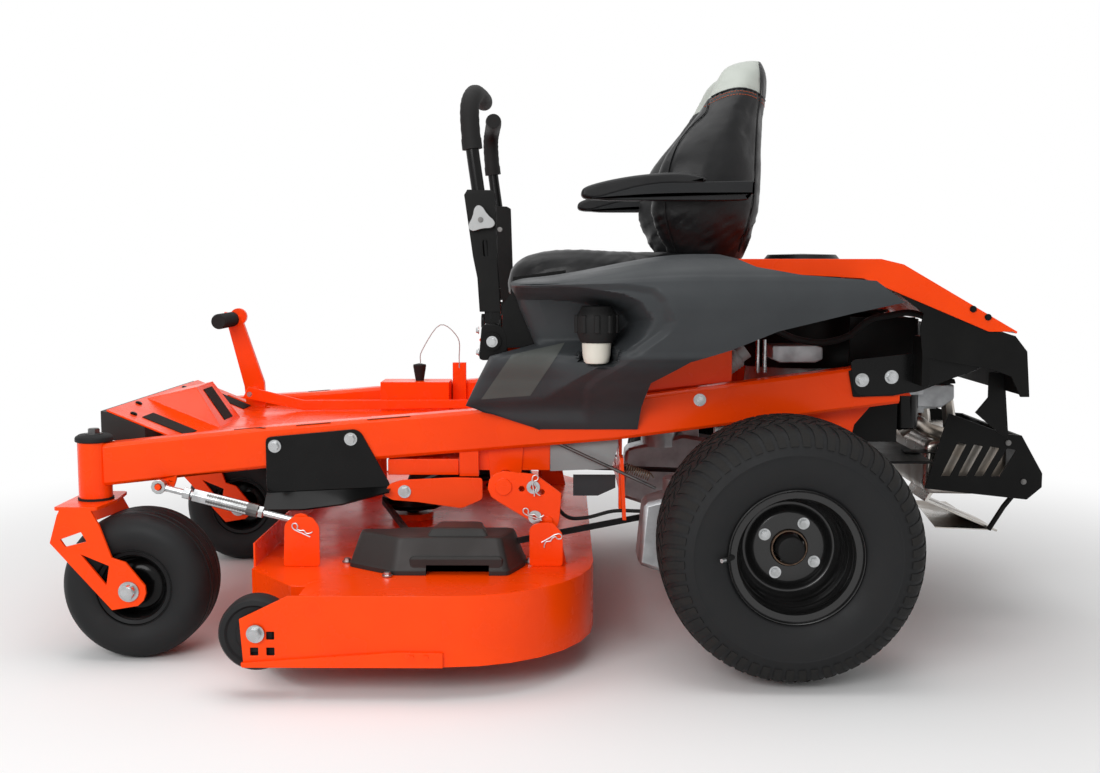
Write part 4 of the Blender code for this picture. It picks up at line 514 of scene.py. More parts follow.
def grown(tree, mesh, finish_name, **settings):
    """A seed mesh put through a tree, as a plain mesh."""
    data = bpy.data.meshes.new("seed")
    mesh.to_mesh(data)
    mesh.free()
    seed = bpy.data.objects.new("seed", data)
    bpy.context.scene.collection.objects.link(seed)
    step = seed.modifiers.new("grow", "NODES")
    step.node_group = tree
    known = {item.name: item.identifier for item in tree.interface.items_tree if item.in_out == "INPUT"}
    for label, value in {**settings, "Finish": FINISHES[finish_name]}.items():
        step[known[label]] = value
    graph = bpy.context.evaluated_depsgraph_get()
    plain = bpy.data.meshes.new_from_object(seed.evaluated_get(graph))
    made = bmesh.new()
    made.from_mesh(plain)
    bpy.data.objects.remove(seed, do_unlink=True)
    bpy.data.meshes.remove(plain)
    return made


def studs(tree, finish_name, places):
    """Fasteners of one kind at (point, aim, size) places."""
    mesh = bmesh.new()
    aim = mesh.verts.layers.float_vector.new("aim")
    size = mesh.verts.layers.float.new("size")
    for point, along, radius in places:
        vert = mesh.verts.new(point)
        vert[aim] = Vector(along).normalized()
        vert[size] = radius
    return grown(tree, mesh, finish_name)


# Wheels

REAR_SIDE = ((0.1045, 0.0940), (0.1185, 0.0995), (0.1220, 0.1035), (0.1320, 0.1115), (0.1500, 0.1180),
             (0.1680, 0.1200), (0.1785, 0.1196), (0.1800, 0.1210), (0.1830, 0.1210), (0.1848, 0.1190),
             (0.1960, 0.1165), (0.2060, 0.1115), (0.2165, 0.1025), (0.2235, 0.0920), (0.2280, 0.0780),
             (0.2310, 0.0550), (0.2325, 0.0250), (0.2328, 0.0))
CASTER_SIDE = ((0.0630, 0.0550), (0.0740, 0.0600), (0.0780, 0.0640), (0.0920, 0.0690), (0.1060, 0.0700),
               (0.1200, 0.0660), (0.1300, 0.0575), (0.1365, 0.0460), (0.1385, 0.0375), (0.1360, 0.0365),
               (0.1360, 0.0335), (0.1393, 0.0325), (0.1398, 0.0200), (0.1398, 0.0185), (0.1372, 0.0175),
               (0.1372, 0.0145), (0.1400, 0.0135), (0.1400, 0.0))
TREAD_PITCHES = 60
LUG_WIDTH = 0.62


def both_sides(half):
    """A half profile and its mirror image, from one bead to the other."""
    return [*half, *[(r, -y) for r, y in reversed(half[:-1])]]


def on_carcass(share):
    """A point and its outward direction on the tyre, from the lugs' foot (0) to mid tread (1)."""
    line = [Vector(p) for p in REAR_SIDE[10:]]
    lengths = [(b - a).length for a, b in zip(line, line[1:])]
    left = share * sum(lengths)
    for a, b, length in zip(line, line[1:], lengths):
        if left <= length:
            break
        left -= length
    along = (b - a).normalized()
    return a + along * min(left, length), Vector((-along.y, along.x)) * -1


def lug(start, end, slant, height, pieces):
    """One tread block that follows the tyre's curve; slant is in tread pitches."""
    pitch = 2 * math.pi / TREAD_PITCHES
    rings = []
    for k in range(pieces + 1):
        t = k / pieces
        foot, out = on_carcass(start + (end - start) * t)
        tip = foot + out * (height[0] + (height[1] - height[0]) * min(1, 2.5 * t))
        root = foot - out * 0.002
        mid = (slant[0] + (slant[1] - slant[0]) * t * t) * pitch
        ring = []
        for point, half in ((root, 0.5), (root, -0.5), (tip, -0.42), (tip, 0.42)):
            turn = mid + half * LUG_WIDTH * pitch
            ring.append((point.x * math.cos(turn), point.y, point.x * math.sin(turn)))
        rings.append(ring)
    return solid(rings)


def tread_lugs():
    """One pitch of the turf tread: hooked shoulder bars and two rows of blocks on each half."""
    halves = []
    for side, offset in ((1, 0.0), (-1, 0.5)):
        half = merged(lug(0, 0.46, (offset, offset + 0.62), (0.0018, 0.0080), 8),
                      lug(0.50, 0.72, (offset + 0.75, offset + 0.10), (0.0080, 0.0082), 3),
                      lug(0.765, 0.96, (offset + 0.05, offset + 0.72), (0.0082, 0.0082), 3))
        if side < 0:
            bmesh.ops.scale(half, vec=(1, -1, 1), verts=half.verts)
            bmesh.ops.reverse_faces(half, faces=half.faces)
        halves.append(half)
    return merged(*halves)


def rear_rim_profile():
    disc = [(0.0325, 0.0245), (0.0350, 0.0260), (0.0600, 0.0260), (0.0680, 0.0235), (0.0745, 0.0165), (0.0800, 0.0145)]
    steps = [(0.0838, 0.0165), (0.0862, 0.0240), (0.0880, 0.0360), (0.0895, 0.0450), (0.0925, 0.0495)]
    steps += [(0.0947, 0.0550), (0.0962, 0.0660), (0.0985, 0.0710), (0.1020, 0.0740), (0.1038, 0.0800)]
    lip = [(0.1050, 0.0890), (0.1080, 0.0942), (0.1120, 0.0970), (0.1145, 0.1000), (0.1160, 0.1045)]
    lip += [(0.1180, 0.1062), (0.1198, 0.1048), (0.1198, 0.1005), (0.1036, 0.0985)]
    back = [(0.1030, -0.0985), (0.1185, -0.1000), (0.1185, -0.1050), (0.1160, -0.1055), (0.1000, -0.0950)]
    back += [(0.0960, -0.0800), (0.0960, 0.0020), (0.0800, 0.0080), (0.0300, 0.0180), (0.0290, 0.0200)]
    return disc + steps + lip + back


def make_rear_wheels():
    for name, side in SIDES:
        body = f"drive_wheel_{name}"
        centre = Vector((0, side * REAR_Y, REAR_AXLE_Z))
        carcass = revolve(both_sides(REAR_SIDE), centre, "Y", 96)
        piece(f"rear_tyre_{name}", carcass, "tyre_rubber", body, [f"drive_tyre_{name}"], 50)
        lugs = grown(RING, tread_lugs(), "tread_rubber", Count=TREAD_PITCHES)
        bmesh.ops.translate(lugs, verts=lugs.verts, vec=centre)
        piece(f"rear_tread_{name}", lugs, "tread_rubber", body, (), 30)
        # A near-black band just over the carcass between the lugs: painted shade in the tread gaps
        base = [foot + out * 0.0004 for foot, out in (on_carcass(k / 24) for k in range(25))]
        band = revolve(both_sides([tuple(p) for p in base]), centre, "Y", 96)
        piece(f"tread_gap_painted_shade_{name}", band, "tread_gap_painted_shade", body, (), 50)
        rim = revolve([(r, side * y) for r, y in rear_rim_profile()], centre, "Y", 96)
        piece(f"rear_rim_{name}", rim, "rim_enamel", body, [f"drive_rim_{name}"], 50)
        hub = [(0, 0.0520), (0.0200, 0.0520), (0.0235, 0.0500), (0.0250, 0.0440), (0.0250, -0.1050), (0, -0.1050)]
        cap = revolve([(r, side * y) for r, y in hub], centre, "Y", 48)
        piece(f"hub_cap_{name}", cap, "grip_rubber", body, (), 30)
        edge = [(0.0292, 0.0150), (0.0292, 0.0275), (0.0300, 0.0290), (0.0318, 0.0290), (0.0325, 0.0275), (0.0325, 0.0150)]
        ring = revolve([(r, side * y) for r, y in edge], centre, "Y", 64)
        piece(f"hub_ring_{name}", ring, "rusted_edge", body)
        bolts = []
        for k in range(4):
            turn = math.radians(61 + 90 * k)
            place = centre + Vector((0.0508 * math.cos(turn), side * 0.026, 0.0508 * math.sin(turn)))
            bolts.append((place, (0, side, 0), 0.0076))
        piece(f"lug_bolts_{name}", studs(HEX_BOLT, "zinc_plate", bolts), "zinc_plate", body, (), 30)
        foot = centre + Vector((-0.1115, side * 0.0960, 0.0))
        stem = [foot, foot + Vector((-0.006, side * 0.014, 0)), foot + Vector((-0.016, side * 0.025, 0))]
        piece(f"valve_stem_{name}", pipe(stem, [0.0055, 0.0045, 0.0040]), "grip_rubber", body)
        tip = [stem[-1], stem[-1] + Vector((-0.006, side * 0.006, 0))]
        piece(f"valve_cap_{name}", pipe(tip, [0.0042, 0.0036]), "zinc_plate", body)


def caster_rim_profile():
    face = [(0.0090, 0.0745), (0.0185, 0.0745), (0.0200, 0.0730), (0.0205, 0.0450), (0.0240, 0.0340), (0.0320, 0.0275)]
    face += [(0.0420, 0.0245), (0.0500, 0.0255), (0.0535, 0.0305), (0.0550, 0.0400), (0.0565, 0.0480)]
    lip = [(0.0600, 0.0515), (0.0655, 0.0535), (0.0690, 0.0570), (0.0710, 0.0605), (0.0730, 0.0605)]
    lip += [(0.0738, 0.0580), (0.0738, 0.0560), (0.0622, 0.0550)]
    back = [(r, -y) for r, y in reversed(face[9:] + lip)]
    back += [(0.0550, 0.0120), (0.0420, 0.0160), (0.0240, 0.0100), (0.0205, -0.0100), (0.0200, -0.0730)]
    return face + lip + back + [(0.0185, -0.0745), (0.0090, -0.0745)]


def make_casters():
    for name, side in SIDES:
        body, wheel = f"caster_{name}", f"caster_wheel_{name}"
        y = side * CASTER_Y
        centre = Vector((CASTER_X, y, CASTER_Z))
        tyre = revolve(both_sides(CASTER_SIDE), centre, "Y", 80)
        piece(f"front_tyre_{name}", tyre, "tyre_rubber", wheel, [f"caster_tyre_{name}"], 50)
        rim = revolve([(r, side * a) for r, a in caster_rim_profile()], centre, "Y", 72)
        piece(f"front_rim_{name}", rim, "gloss_black", wheel, [f"caster_rim_{name}"], 50)
        bolts = [(centre + Vector((0, s * 0.0832, 0)), (0, s, 0), 0.0135) for s in (-1, 1)]
        piece(f"caster_axle_bolts_{name}", studs(HEX_BOLT, "zinc_plate", bolts), "zinc_plate", body, (), 30)
        cap = [(0.0130, 0.4106), (0.0340, 0.4106), (0.0352, 0.4120), (0.0352, 0.4175), (0.0335, 0.4205), (0.0280, 0.4240)]
        cap += [(0.0130, 0.4245)]
        dust = revolve(cap, (PIVOT_X, y, 0), "Z", 48)
        piece(f"dust_cap_{name}", dust, "grip_rubber", body, (), 35)
        nut = studs(HEX_BOLT, "dark_steel", [((PIVOT_X, y, 0.4235), (0, 0, 1), 0.0115)])
        piece(f"pivot_nut_{name}", nut, "dark_steel", body, (), 30)
        seal = revolve([(0.0260, 0.2990), (0.0330, 0.2990), (0.0330, 0.3035), (0.0260, 0.3035)], (PIVOT_X, y, 0), "Z", 40)
        piece(f"pivot_seal_{name}", seal, "grip_rubber", body)


# Seat

# The headrest seam is an arch: its height at an X
SEAM_TOP = 1.098
SEAM_X = -0.050
SEAM_HALF = 0.056
SEAM_DROP = 0.015


def seam_height(x):
    return SEAM_TOP - SEAM_DROP * ((x - SEAM_X) / SEAM_HALF) ** 2


def finer(rows, per_span, closed=False):
    """Rows of numbers with smooth rows set between them."""
    rows = [list(r) for r in rows]
    if closed:
        line = [rows[-1], *rows, rows[0], rows[1]]
    else:
        line = [[2 * a - b for a, b in zip(rows[0], rows[1])], *rows, [2 * a - b for a, b in zip(rows[-1], rows[-2])]]
    made = []
    for spans in zip(line, line[1:], line[2:], line[3:]):
        for k in range(per_span):
            t = k / per_span
            made.append([0.5 * (2 * b + (c - a) * t + (2 * a - 5 * b + 4 * c - d) * t * t
                                + (3 * b - a - 3 * c + d) * t ** 3) for a, b, c, d in zip(*spans)])
    return made if closed else made + [rows[-1]]


def puffed(mesh, voxel, pressure, most):
    """A closed mesh blown up as stuffed cloth, no point moving further than a limit."""
    data = bpy.data.meshes.new("pad")
    mesh.to_mesh(data)
    mesh.free()
    pad = bpy.data.objects.new("pad", data)
    bpy.context.scene.collection.objects.link(pad)
    even = pad.modifiers.new("even", "REMESH")
    even.mode = "VOXEL"
    even.voxel_size = voxel
    graph = bpy.context.evaluated_depsgraph_get()
    pad.data = bpy.data.meshes.new_from_object(pad.evaluated_get(graph))
    pad.modifiers.clear()
    rest = [v.co.copy() for v in pad.data.vertices]
    cloth = pad.modifiers.new("stuffing", "CLOTH")
    cloth.settings.quality = 4
    cloth.settings.use_pressure = True
    cloth.settings.uniform_pressure_force = pressure
    cloth.settings.effector_weights.gravity = 0
    for frame_number in range(1, 17):
        bpy.context.scene.frame_set(frame_number)
    graph = bpy.context.evaluated_depsgraph_get()
    blown = pad.evaluated_get(graph).to_mesh()
    moves = [v.co - r for v, r in zip(blown.vertices, rest)]
    pad.modifiers.clear()
    bpy.context.scene.frame_set(1)
    for vert, place, move in zip(pad.data.vertices, rest, moves):
        vert.co = place + move * min(1, most / max(move.length, 1e-9))
    made = bmesh.new()
    made.from_mesh(pad.data)
    bpy.data.objects.remove(pad, do_unlink=True)
    for _ in range(2):
        bmesh.ops.smooth_vert(made, verts=made.verts, factor=0.5, use_axis_x=True, use_axis_y=True, use_axis_z=True)
    return made


def cushion_form():
    """The seat's dished middle and raised bolsters, a little under size."""
    across = [(-1, 0), (-1, 0.5), (-0.94, 0.86), (-0.76, 1), (-0.46, 0.90), (0, 0.86)]
    across += [(-u, v) for u, v in reversed(across[:-1])]
    across = finer(across, 4) + [(0.6, 0), (0, 0), (-0.6, 0)]
    stations = [(-0.520, 0.20, 0.715), (-0.508, 0.225, 0.740), (-0.470, 0.243, 0.760), (-0.400, 0.252, 0.770)]
    stations += [(-0.300, 0.252, 0.766), (-0.200, 0.248, 0.764), (-0.112, 0.243, 0.764), (-0.088, 0.22, 0.74)]
    base = 0.6805
    rings = [[(x, u * half, base + v * (top - base)) for u, v in across] for x, half, top in finer(stations, 5)]
    return solid(rings)


BACK_LEVELS = ((0.742, -0.184, -0.044, 0.200), (0.770, -0.198, -0.034, 0.218), (0.815, -0.220, -0.020, 0.243),
               (0.865, -0.231, -0.009, 0.252), (0.934, -0.214, -0.005, 0.249), (0.980, -0.189, -0.004, 0.239),
               (1.046, -0.135, 0.001, 0.212), (1.091, -0.103, 0.008, 0.190), (1.136, -0.080, 0.014, 0.158),
               (1.157, -0.058, 0.015, 0.132), (1.173, -0.022, 0.012, 0.098))


def back_form():
    """The tall back, its bolsters wrapping forward and its top tapering in."""
    section = [(-1, 0.55), (-0.94, 0.10), (-0.80, 0), (-0.60, 0.18), (-0.30, 0.34), (0, 0.37)]
    section += [(-u, v) for u, v in reversed(section[:-1])] + [(0.82, 0.93), (0.4, 1), (-0.4, 1), (-0.82, 0.93)]
    section = finer(section, 3, closed=True)
    return solid([[(front + v * (rear - front), u * half, z) for u, v in section]
                  for z, front, rear, half in finer(BACK_LEVELS, 5)])


def wrinkle(mesh, zone, depth):
    """Short pulls in the cover, deepest where zone(point) is 1."""
    mesh.normal_update()
    for vert in mesh.verts:
        strength = zone(vert.co)
        if strength > 0.01:
            spot = Vector((vert.co.x * 16 + vert.co.z * 22, vert.co.y * 9, (vert.co.z - 0.6 * vert.co.x) * 60))
            ridge = 1 - 2 * abs(noise.noise(spot))
            vert.co += vert.normal * depth * strength * (ridge - 0.5)


def groove(mesh, path, width, depth):
    """Draw a sewn line into a pad."""
    line = KDTree(len(path))
    for i, point in enumerate(path):
        line.insert(point, i)
    line.balance()
    for vert in mesh.verts:
        near = line.find(vert.co)[2]
        if near < width:
            vert.co -= vert.normal * depth * (1 - near / width) ** 2


def cast(tree, start, along):
    """Where straight lines from some points first meet a surface."""
    hits = [tree.ray_cast(Vector(p), Vector(along))[0] for p in start]
    return [p for p in hits if p]


def closed_pipe(points, radius, sides=8):
    """A thin round cord laid in a closed loop."""
    count = len(points)
    rings = []
    for i, here in enumerate(points):
        ahead = (points[(i + 1) % count] - points[i - 1]).normalized()
        side = ahead.cross(Vector((0, 0, 1))).normalized()
        other = ahead.cross(side)
        turns = [2 * math.pi * k / sides for k in range(sides)]
        rings.append([here + radius * (math.cos(t) * side + math.sin(t) * other) for t in turns])
    return solid(rings, caps=False)


def stitch_row(path, spacing=0.006):
    """Places for stitches along a line."""
    places = []
    left = 0.0
    for a, b in zip(path, path[1:]):
        run = b - a
        while left < run.length:
            places.append((a + run.normalized() * left, run, 0.0019))
            left += spacing
        left -= run.length
    return places


def math_node(tree, operation, *values):
    """One step of arithmetic in a material; each value is a number or another step's socket."""
    node = tree.nodes.new("ShaderNodeMath")
    node.operation = operation
    for socket, value in zip(node.inputs, values):
        if isinstance(value, (int, float)):
            socket.default_value = value
        else:
            tree.links.new(value, socket)
    return node.outputs[0]


def seat_cover_finish():
    """Black vinyl, with pale vinyl above the headrest seam and the rear shell left black."""
    made = FINISHES["seat_vinyl"].copy()
    made.name = "seat_cover"
    tree = made.node_tree
    shader = tree.nodes["Principled BSDF"]
    black = shader.inputs["Base Color"].links[0].from_socket
    place = tree.nodes.new("ShaderNodeTexCoord")
    parts = tree.nodes.new("ShaderNodeSeparateXYZ")
    tree.links.new(place.outputs["Object"], parts.inputs[0])
    across = math_node(tree, "SUBTRACT", parts.outputs["X"], SHIFT.x + SEAM_X)
    arch = math_node(tree, "MULTIPLY", math_node(tree, "MULTIPLY", across, across), SEAM_DROP / SEAM_HALF ** 2)
    above = math_node(tree, "GREATER_THAN", math_node(tree, "ADD", parts.outputs["Z"], arch), SEAM_TOP)
    ahead = math_node(tree, "LESS_THAN", parts.outputs["X"], SHIFT.x + REAR_SEAM)
    mix = tree.nodes.new("ShaderNodeMix")
    mix.data_type = "RGBA"
    colours = [s for s in mix.inputs if s.type == "RGBA"]
    tree.links.new(math_node(tree, "MULTIPLY", above, ahead), mix.inputs["Factor"])
    tree.links.new(black, colours[0])
    colours[1].default_value = (0.44, 0.47, 0.43, 1)
    tree.links.new([s for s in mix.outputs if s.type == "RGBA"][0], shader.inputs["Base Color"])
    FINISHES["seat_cover"] = made


REAR_SEAM = -0.001


def round_the_back(tree, drop):
    """A line round the back, a distance below the headrest seam."""
    path = []
    for k in range(96):
        turn = 2 * math.pi * k / 96
        reach = Vector((math.cos(turn), math.sin(turn), 0))
        height = SEAM_TOP
        for _ in range(4):
            hit = cast(tree, [Vector((SEAM_X, 0, height - drop)) + reach * 0.5], -reach)[0]
            height = seam_height(hit.x)
        path.append(hit + reach * 0.0006)
    return path


def make_seat():
    seat_cover_finish()
    cushion = puffed(cushion_form(), 0.0065, 3.0, 0.006)
    wrinkle(cushion, lambda p: 0.4 + 0.6 * min(1, abs(p.y) / 0.2), 0.0014)
    line = [Vector((x / 100, side * 0.115, 0.80)) for side in (-1, 1) for x in range(-48, -11)]
    cushion.normal_update()
    groove(cushion, cast(BVHTree.FromBMesh(cushion), line, (0, 0, -1)), 0.014, 0.005)
    pad = piece("seat_cushion_cover", cushion, "seat_vinyl", "seat", ["seat_cushion"], 60)
    back = puffed(back_form(), 0.0065, 3.0, 0.007)
    wrinkle(back, lambda p: 0.2 + max(0, 1 - abs(p.z - 0.80) / 0.09), 0.0030)
    front_line = ((-0.112, 1.073), (-0.121, 1.048), (-0.152, 1.018), (-0.180, 0.980), (-0.197, 0.931),
                  (-0.204, 0.862), (-0.196, 0.815), (-0.178, 0.771))
    rear_line = ((REAR_SEAM, 1.156), (-0.004, 1.090), (-0.011, 1.040), (-0.017, 0.950), (-0.021, 0.880),
                 (-0.033, 0.820), (-0.048, 0.771))
    lines = []
    tree = BVHTree.FromBMesh(back)
    for side in (-1, 1):
        for route in (front_line, rear_line):
            start = [Vector((x, side * 0.40, z)) for x, z in finer(route, 8)]
            lines.append(cast(tree, start, (0, -side, 0)))
    back.normal_update()
    for path in (*lines, round_the_back(tree, 0)):
        groove(back, path, 0.011, 0.0035)
    tree = BVHTree.FromBMesh(back)
    seam = round_the_back(tree, 0)
    threads = [stitch_row(round_the_back(tree, drop)) for drop in (0.006, 0.013)]
    pale = []
    for side, path in zip((-1, -1, 1, 1), lines):
        pale += stitch_row([p + Vector((0.009, side * 0.0010, 0)) for p in path]) if path[0].x < -0.05 else []
    cover = piece("seat_back_cover", back, "seat_cover", "seat", ["seat_back"], 60)
    cords = [pipe(path[::2], 0.0015, 6) for path in lines]
    piece("side_piping", merged(*cords), "seat_vinyl", "seat", (), 60)
    piece("headrest_piping", closed_pipe(seam, 0.0020), "seat_vinyl", "seat", (), 60)
    piece("headrest_stitches", studs(STITCH, "stitch_thread", threads[0] + threads[1]), "stitch_thread", "seat", (), 60)
    piece("side_stitches", studs(STITCH, "pale_thread", pale), "pale_thread", "seat", (), 60)


def inward_of(line):
    """For each point of a closed outline, the way in."""
    area = sum(a.x * b.y - b.x * a.y for a, b in zip(line, line[1:] + line[:1]))
    ways = []
    for i in range(len(line)):
        along = (line[(i + 1) % len(line)] - line[i - 1]).normalized()
        ways.append(Vector((-along.y, along.x)) * (1 if area > 0 else -1))
    return ways


def slab(outline, low, high, edge, axis="Y", steps=4):
    """A plate with its rim rounded over, for a smooth outline."""
    line = [Vector(p) for p in outline]
    inward = inward_of(line)
    levels = []
    for k in range(steps + 1):
        turn = math.pi / 2 * k / steps
        levels.append((edge * (1 - math.sin(turn)), low + edge * (1 - math.cos(turn))))
    levels += [(inset, low + high - along) for inset, along in reversed(levels)]
    return solid([[to_space(axis, *(p + n * inset), along) for p, n in zip(line, inward)] for inset, along in levels])


def make_armrests():
    """A padded top on a moulded arm with a lip under it."""
    pad = ((-0.366, 0.874), (-0.370, 0.886), (-0.358, 0.896), (-0.318, 0.907), (-0.266, 0.916), (-0.211, 0.921),
           (-0.175, 0.921), (-0.144, 0.916), (-0.130, 0.909), (-0.137, 0.902), (-0.159, 0.898), (-0.205, 0.898),
           (-0.254, 0.892), (-0.303, 0.880), (-0.338, 0.871))
    arm = ((-0.352, 0.873), (-0.303, 0.887), (-0.254, 0.898), (-0.205, 0.903), (-0.126, 0.904), (-0.044, 0.905),
           (-0.039, 0.900), (-0.040, 0.885), (-0.046, 0.881), (-0.150, 0.881), (-0.254, 0.878), (-0.318, 0.871))
    lip = ((-0.335, 0.8700), (-0.300, 0.884), (-0.062, 0.884), (-0.053, 0.876), (-0.062, 0.8690), (-0.211, 0.8685))
    inner, outer = 0.2640, 0.3180
    for name, side in SIDES:
        cushion = slab(finer(pad, 4, closed=True), -outer, -inner, 0.0075)
        bar = slab(finer(arm, 4, closed=True), -outer + 0.001, -inner - 0.001, 0.0020)
        under = slab(finer(lip, 4, closed=True), -outer + 0.0045, -inner - 0.0045, 0.0020)
        pin = revolve([(0, -0.2665), (0.0098, -0.2665), (0.0098, -0.2060), (0, -0.2060)], (-0.045, 0, 0.885), "Y", 24)
        body = f"arm_{name}"
        pad_piece = piece(f"arm_pad_{name}", mirrored(cushion, side), "seat_vinyl", body, [f"armrest_{name}"], 50)
        piece(f"arm_bar_{name}", mirrored(merged(bar, under, pin), side), "arm_plastic", body, (), 40)


# Fenders, filler and levers

FENDER_LEVELS = (
    (0.430, -0.450, -0.262, 0.3632, 0.3630, 0), (0.478, -0.590, -0.257, 0.400, 0.385, 0),
    (0.530, -0.565, -0.245, 0.475, 0.390, 0), (0.574, -0.542, -0.180, 0.543, 0.395, 0),
    (0.596, -0.458, -0.110, 0.556, 0.385, 0), (0.630, -0.472, -0.030, 0.567, 0.378, 0),
    (0.662, -0.486, 0.098, 0.576, 0.372, 0), (0.681, -0.492, 0.186, 0.579, 0.366, 0),
    (0.700, -0.499, 0.160, 0.578, 0.355, 0.004), (0.718, -0.503, 0.137, 0.572, 0.345, 0.010),
    (0.728, -0.503, 0.010, 0.565, 0.342, 0.018), (0.742, -0.500, -0.068, 0.550, 0.340, 0.028),
    (0.757, -0.490, -0.098, 0.510, 0.340, 0.040), (0.764, -0.480, -0.120, 0.450, 0.338, 0.045),
    (0.765, -0.470, -0.125, 0.390, 0.337, 0.045))
FENDER_WALL = 0.004
CAP_X = -0.345
CAP_Y = 0.495
CAP_Z = 0.606
# The raised side body's edge, and the filler scoop's upper edge and foot, as (X, Z)
BODY_EDGE = ((-0.70, 0.724), (-0.423, 0.722), (-0.293, 0.716), (-0.245, 0.707), (-0.225, 0.686), (-0.211, 0.645),
             (-0.221, 0.624), (-0.282, 0.578), (-0.341, 0.535), (-0.356, 0.515), (-0.356, 0.30), (-0.70, 0.30))
SCOOP_EDGE = ((-0.70, 0.716), (-0.423, 0.715), (-0.382, 0.712), (-0.300, 0.696), (-0.272, 0.682), (-0.248, 0.648),
              (-0.254, 0.627), (-0.262, 0.30), (-0.70, 0.30))
SCOOP_FOOT = ((-0.70, 0.488), (-0.506, 0.489), (-0.441, 0.495), (-0.386, 0.534), (-0.320, 0.580), (-0.254, 0.622))
SCOOP_DEPTH = 0.118
BAND_DEPTH = 0.012


def ease(low, high, value):
    """A smooth step from 0 to 1 as value goes from low to high."""
    t = min(1, max(0, (value - low) / (high - low)))
    return t * t * (3 - 2 * t)


def ramp(low, high, value):
    """A straight step from 0 to 1 as value goes from low to high."""
    return min(1, max(0, (value - low) / (high - low)))


def within(edge, x, z):
    """How far a point lies inside a closed edge; below 0 outside it."""
    nearest = 1.0
    inside = False
    for (x0, z0), (x1, z1) in zip(edge, edge[1:] + edge[:1]):
        run = Vector((x1 - x0, z1 - z0))
        t = min(1, max(0, Vector((x - x0, z - z0)).dot(run) / run.length_squared))
        nearest = min(nearest, math.hypot(x - x0 - t * run.x, z - z0 - t * run.y))
        if (z0 > z) != (z1 > z) and x < x0 + (z - z0) * (x1 - x0) / (z1 - z0):
            inside = not inside
    return nearest if inside else -nearest


def at(table, value):
    """A value read between a table's rows."""
    for (a, low), (b, high) in zip(table, table[1:]):
        if value <= b:
            return low + (high - low) * max(0, (value - a) / (b - a))
    return table[-1][1]


def recess(x, z, with_scoop):
    """How far the surface lies inside the plain side: a shallow band, and the filler's scoop."""
    band = BAND_DEPTH * ramp(0, 0.013, within(BODY_EDGE, x, z)) * ease(0.44, 0.48, z)
    if not with_scoop:
        return band
    foot = at(SCOOP_FOOT, x)
    floor = ramp(foot, max(0.606, foot + 0.03), z)
    scoop = SCOOP_DEPTH * floor * ramp(0, 0.034, within(SCOOP_EDGE, x, z))
    neck_well = 0.085 * ramp(0.566, 0.572, z) * ramp(0.034, 0.028, abs(x - CAP_X)) * ramp(0.640, 0.610, z)
    return band + max(scoop, neck_well)


def straighter(rows, per_span):
    """Rows of numbers with evenly spaced rows set between them."""
    made = []
    for low, high in zip(rows, rows[1:]):
        for k in range(per_span):
            made.append([a + (b - a) * k / per_span for a, b in zip(low, high)])
    return made + [rows[-1]]


def shell(rows, wall):
    """A sheet over rows of points, given a wall on its inner side."""
    last, end = len(rows) - 1, len(rows[0]) - 1
    rings = []
    for i, row in enumerate(rows):
        inner = []
        for k, point in enumerate(row):
            along = row[min(k + 1, end)] - row[max(k - 1, 0)]
            up = rows[min(i + 1, last)][k] - rows[max(i - 1, 0)][k]
            inner.append(point + up.cross(along).normalized() * wall)
        rings.append([*row, *reversed(inner)])
    return solid(rings)


def fender(with_scoop):
    """A moulded side body: wrapped front, swelling side, rolled top and a rear wing."""
    rows = []
    swell = finer(FENDER_LEVELS, 8)
    for k, straight in enumerate(straighter(FENDER_LEVELS, 8)):
        z, front, rear, _, wrap, fall = straight
        out = swell[k][3]
        start = out - recess(front + 0.04, z, with_scoop)
        reach = start - wrap
        bend = [(front, wrap), (front, wrap + 0.4 * reach), (front + 0.012, wrap + 0.85 * reach), (front + 0.04, start)]
        places = finer(bend, 3)[:-1]
        for column in range(141):
            x = front + 0.04 + (rear - front - 0.04) * column / 140
            places.append((x, out - recess(x, z, with_scoop)))
        rows.append([Vector((x, -y, z - fall * (1 - ease(-0.50, -0.16, x)))) for x, y in places])
    return shell(rows, FENDER_WALL)


def turned(mesh, axis, degrees, centre):
    """A mesh turned about an axis and then set at a place."""
    bmesh.ops.rotate(mesh, verts=mesh.verts, matrix=Matrix.Rotation(math.radians(degrees), 3, axis))
    bmesh.ops.translate(mesh, verts=mesh.verts, vec=centre)
    return mesh


